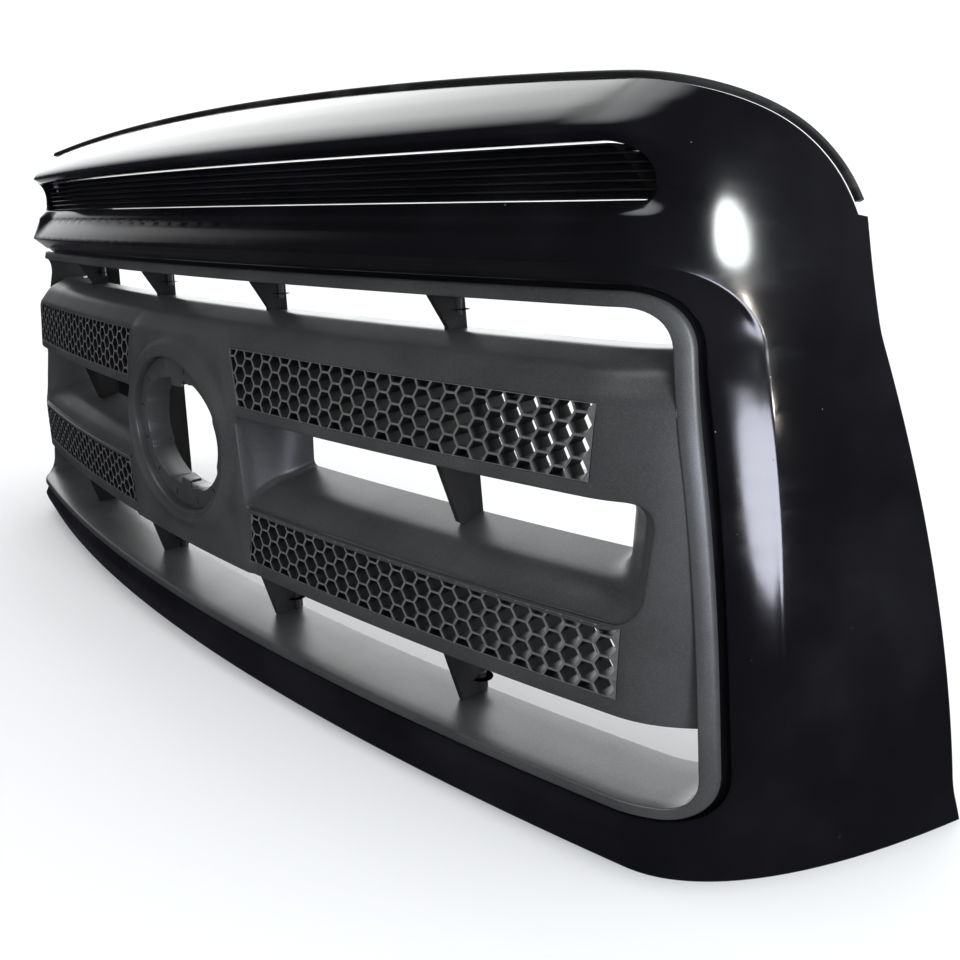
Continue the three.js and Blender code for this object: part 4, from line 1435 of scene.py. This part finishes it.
@dataclass
class HoneycombScreen:
    """One honeycomb panel at its real pitch."""

    label: str
    side: Side
    bottom: float
    top: float
    inner_low: float
    inner_high: float
    outer: float
    panel: BarPanel
    cell: float = 8.4
    web: float = 1.9
    depth: float = 15.0

    def _hexagon(self, x: float, z: float) -> np.ndarray:
        """One cell's outline."""
        t = np.arange(6) * math.pi / 3
        radius = self.cell - self.web / math.sqrt(3)
        return np.column_stack([x + radius * np.cos(t), z + radius * np.sin(t)])

    @staticmethod
    def _clip(loop: np.ndarray, start: np.ndarray, end: np.ndarray) -> np.ndarray:
        """Keeps the part of a loop on the left of a line.

        Args:
            loop: closed outline.
            start: a point of the line.
            end: a further point of the line.

        Returns:
            The clipped outline, empty if nothing is left.
        """
        if len(loop) == 0:
            return loop
        along = end - start
        side = [float(along[0] * (p[1] - start[1]) - along[1] * (p[0] - start[0])) for p in loop]
        kept = []
        for i, p in enumerate(loop):
            q, sp, sq = loop[(i + 1) % len(loop)], side[i], side[(i + 1) % len(loop)]
            if sp >= 0:
                kept.append(p)
            if sp * sq < 0:
                kept.append(p + (q - p) * sp / (sp - sq))
        return np.array(kept)

    def _cells(self) -> list[np.ndarray]:
        """The cells, clipped to the panel's field.

        Returns:
            Closed outlines on the right half.
        """
        edge = self.web / 2
        corners = np.array([(self.inner_low + edge, self.bottom + edge), (self.outer, self.bottom + edge),
                            (self.outer, self.top - edge), (self.inner_high + edge, self.top - edge)])
        row, pitch = self.cell * math.sqrt(3), self.cell * 1.5
        cells = []
        for column in range(int((self.outer - self.inner_high) / pitch) + 2):
            x = self.outer - self.cell - 0.6 - column * pitch
            start = self.bottom + row / 2 if column % 2 == 0 else self.bottom
            for k in range(5):
                loop = self._hexagon(x, start + k * row)
                for i in range(4):
                    loop = self._clip(loop, corners[i], corners[(i + 1) % 4])
                if len(loop) >= 3 and EmblemSeat._area(loop) > 8:
                    cells.append(loop)
        return cells

    def build(self) -> bpy.types.Object:
        """Builds the screen.

        Returns:
            The piece.
        """
        gap = 0.3
        corners = [(self.inner_low + gap, self.bottom + gap), (self.outer - gap, self.bottom + gap),
                   (self.outer - gap, self.top - gap), (self.inner_high + gap, self.top - gap)]
        outline = np.vstack([straight(corners[i], corners[(i + 1) % 4], 30 if i % 2 == 0 else 4)
                             for i in range(4)])
        cells = self._cells()
        sign = self.side.value
        if sign < 0:
            outline, cells = flipped(outline), [flipped(loop) for loop in cells]

        def place(x: np.ndarray, z: np.ndarray, deep: float = 0.25) -> np.ndarray:
            """Front surface, just behind the bar's face."""
            face = self.panel.face_y(z) - self.panel._boss(x, z)
            return swept(x, face + deep, z)

        draft = Draft()
        eased = [grown(loop, 0.22) for loop in cells]
        draft.fill(outline, eased, np.array([0.0]), np.array([0.0]), place)
        for wide, loop in zip(eased, cells):
            rings = [place(*wide.T), place(*loop.T, 0.55), place(*loop.T, self.depth)]
            draft.rings(rings)
        draft.rings([place(*outline.T), place(*outline.T, self.depth)])
        back = Draft()
        back.fill(outline, cells, np.array([0.0]), np.array([0.0]), lambda x, z: place(x, z, self.depth))
        for points in back.points:
            draft.add(points, [tuple(reversed(face)) for face in back.faces])
        node = f"screen_{self.label}_{'right' if sign > 0 else 'left'}"
        return draft.build(node + "_comb", PaintedComb(), [node], 30.0)


# ---------------------------------------------------------------- fixings
@dataclass
class CadDetail:
    """CAD nodes that stay, with eased edges and a finish."""

    prefix: str
    finish: Finish
    ease: float

    def dress(self) -> None:
        """Eases and paints every node whose name starts with the prefix."""
        for name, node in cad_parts.items():
            if not name.startswith(self.prefix):
                continue
            weld = node.modifiers.new("weld", "WELD")
            weld.merge_threshold = 1e-5
            if self.ease > 0:
                bevel = node.modifiers.new("ease", "BEVEL")
                bevel.width = self.ease / 1000
                bevel.segments = 2
                bevel.limit_method = "ANGLE"
                bevel.angle_limit = math.radians(60)
                bevel.use_clamp_overlap = True
            node.data.materials.clear()
            node.data.materials.append(self.finish.material())
            LOG.info("%s: kept, with %s", name, type(self.finish).__name__)


@dataclass
class FlangeScrew:
    """A hexagon flange screw that replaces one plain CAD screw."""

    node: str
    sides: int = 24
    thread_share: float = 0.36
    tip_ring: float = 0.01
    pitch: float = 0.0011
    head: float = 0.0031

    def _circle(self, radius: np.ndarray, height: float) -> np.ndarray:
        """One ring about the screw's axis, in metres."""
        turn = turns(self.sides)
        return np.column_stack([radius * np.cos(turn), np.full(self.sides, height), radius * np.sin(turn)])

    def build(self) -> bpy.types.Object:
        """Builds the screw along its CAD node's own axis.

        Returns:
            The piece.
        """
        low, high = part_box(self.node)
        size = high - low
        upright = self.node.startswith("post")
        length = size.z if upright else size.y
        radius = min(size.x, size.y) / 2 if upright else min(size.x, size.z) / 2
        thread = radius * self.thread_share
        profile = [(self.tip_ring, 0), (thread * 0.5, 0), (thread, thread)]
        pitch = self.pitch
        reach = length - self.head
        for k in range(int((reach - thread) / pitch)):
            h = thread + k * pitch
            profile += [(thread, h + pitch * 0.3), (thread * 0.82, h + pitch * 0.6),
                        (thread, h + pitch * 0.9)]
        profile += [(thread, reach), (radius * 0.97, reach), (radius * 0.97, reach + 0.0006),
                    (radius * 0.68, reach + 0.0011)]
        hexagon = np.cos(math.pi / 6) / np.cos((turns(self.sides) % (math.pi / 3)) - math.pi / 6)
        rings = [self._circle(r, h) for r, h in profile]
        for share, h in ((0.66, reach + 0.0011), (0.66, length - 0.0004), (0.58, length)):
            edge = hexagon if h < length else np.minimum(hexagon, 1.0)
            rings.append(self._circle(radius * share * edge, h))
        dish = ((0.3, length), (0.26, length - 0.0006), (0.02, length - 0.0006))
        rings += [self._circle(radius * share, h) for share, h in dish]
        draft = Draft()
        draft.rings([ring * 1000 for ring in rings], caps=True)
        points = np.vstack(draft.points) / 1000
        middle = (low + high) / 2
        if upright:
            head_up = self.node.startswith("post_screw_top")
            points = points[:, [0, 2, 1]]
            points[:, 2] = low.z + points[:, 2] if head_up else high.z - points[:, 2]
            points[:, 0] += middle.x
            points[:, 1] += middle.y
        else:
            points += np.array([middle.x, low.y, middle.z])
        draft.points = [points * 1000 - np.array([0, Y_SHIFT, 0])]
        return draft.build(self.node + "_detail", ZincSteel(), [self.node], 30.0)


# ---------------------------------------------------------------- studio
@dataclass
class Studio:
    """Floor, lights and camera."""

    eye: tuple = (0.7635, -0.4792, 0.4193)
    target: tuple = (0.3856, -0.0941, 0.2512)
    lens: float = 31.38
    floor_reach: float = 30.0
    dark_room: tuple = (0.02, 0.02, 0.026)
    bright_room: tuple = (3.3, 3.35, 3.35)
    # name, place, target, diameter, watts, tint
    lamps: tuple = (
        ("key", (2.62, -0.04, 1.01), (0.52, 0.0, 0.4), 0.42, 18, (0.95, 1.0, 1.0)),
        ("spot", (2.54, 0.02, 0.6), (0.53, 0.0, 0.3), 0.035, 1.6, (1.0, 0.93, 0.82)),
        ("patch", (2.6, -0.45, 0.3), (0.54, 0.0, 0.25), 0.6, 16, (0.84, 0.86, 1.0)))

    def build(self) -> None:
        """Sets the stage."""
        self._floor()
        self._world()
        self._camera()
        for lamp in self.lamps:
            self._lamp(*lamp)

    def _floor(self) -> None:
        """Makes the pale floor."""
        mesh = bpy.data.meshes.new("floor")
        s = self.floor_reach
        mesh.from_pydata([(-s, -s, 0), (s, -s, 0), (s, s, 0), (-s, s, 0)], [], [(0, 1, 2, 3)])
        floor = linked("floor", mesh)
        material = bpy.data.materials.new("pale_floor")
        material.use_nodes = True
        Graph(material.node_tree).surface(Base_Color=(0.94, 0.95, 0.97, 1), Roughness=0.9)
        mesh.materials.append(material)
        floor.visible_glossy = False

    def _world(self) -> None:
        """White all round, and a studio with a dark side for what shines."""
        world = bpy.data.worlds.new("studio")
        bpy.context.scene.world = world
        world.use_nodes = True
        graph = Graph(world.node_tree)
        direction = graph.add("ShaderNodeTexCoord", output="Generated")
        x, y, z = [graph.add("ShaderNodeSeparateXYZ", {}, {"Vector": direction}, axis) for axis in "XYZ"]
        sweep = (x * -0.6 + y + z * 0.5).above(0.6, 1.12)
        overhead = z.above(0.86, 1.0)
        room = graph.blend(sweep + overhead, self.dark_room, self.bright_room)
        plain = graph.add("ShaderNodeBackground", {}, {"Color": (1.0, 1.0, 1.0, 1), "Strength": 1.12})
        studio = graph.add("ShaderNodeBackground", {}, {"Color": room, "Strength": 1.0})
        glossy = graph.add("ShaderNodeLightPath", output="Is Glossy Ray")
        mixed = graph.add("ShaderNodeMixShader", {}, {0: glossy, 1: plain, 2: studio})
        graph.add("ShaderNodeOutputWorld", {}, {"Surface": mixed})

    def _lamp(self, name: str, at: tuple, target: tuple, size: float, power: float, colour: tuple) -> None:
        """Adds a soft round lamp.

        Args:
            name: name of the lamp.
            at: its place.
            target: where it points.
            size: diameter.
            power: watts.
            colour: tint.
        """
        light = bpy.data.lights.new(name, "AREA")
        light.shape = "DISK"
        light.size = size
        light.energy = power
        light.color = colour
        aim(linked(name, light), at, target)

    def _camera(self) -> None:
        """Places the camera."""
        data = bpy.data.cameras.new("camera")
        data.sensor_width = 36
        data.lens = self.lens
        data.clip_start = 0.02
        camera = linked("camera", data)
        aim(camera, self.eye, self.target)
        bpy.context.scene.camera = camera
        bpy.context.scene.view_settings.view_transform = "Standard"


def main() -> None:
    logging.basicConfig(level=logging.INFO, format="%(name)s %(message)s")
    Studio().build()
    Surround().build()
    HoodSeal().build()
    LouvrePanel().build()
    InsertFrame().build()
    panel = BarPanel()
    panel.build()
    EmblemSeat().build()
    for side in Side:
        for label, window in zip(("upper", "lower"), panel.windows):
            HoneycombScreen(label, side, *window, panel).build()
    for number in (1, 2, 3, 4):
        CadDetail(f"post_{number}", RawBlack(), 0).dress()
    CadDetail("spring_nut", ZincSteel(), 0.15).dress()
    CadDetail("side_bracket", ZincSteel(), 0.4).dress()
    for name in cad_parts:
        if "_screw_" in name:
            FlangeScrew(name).build()


if __name__ == "__main__":
    main()
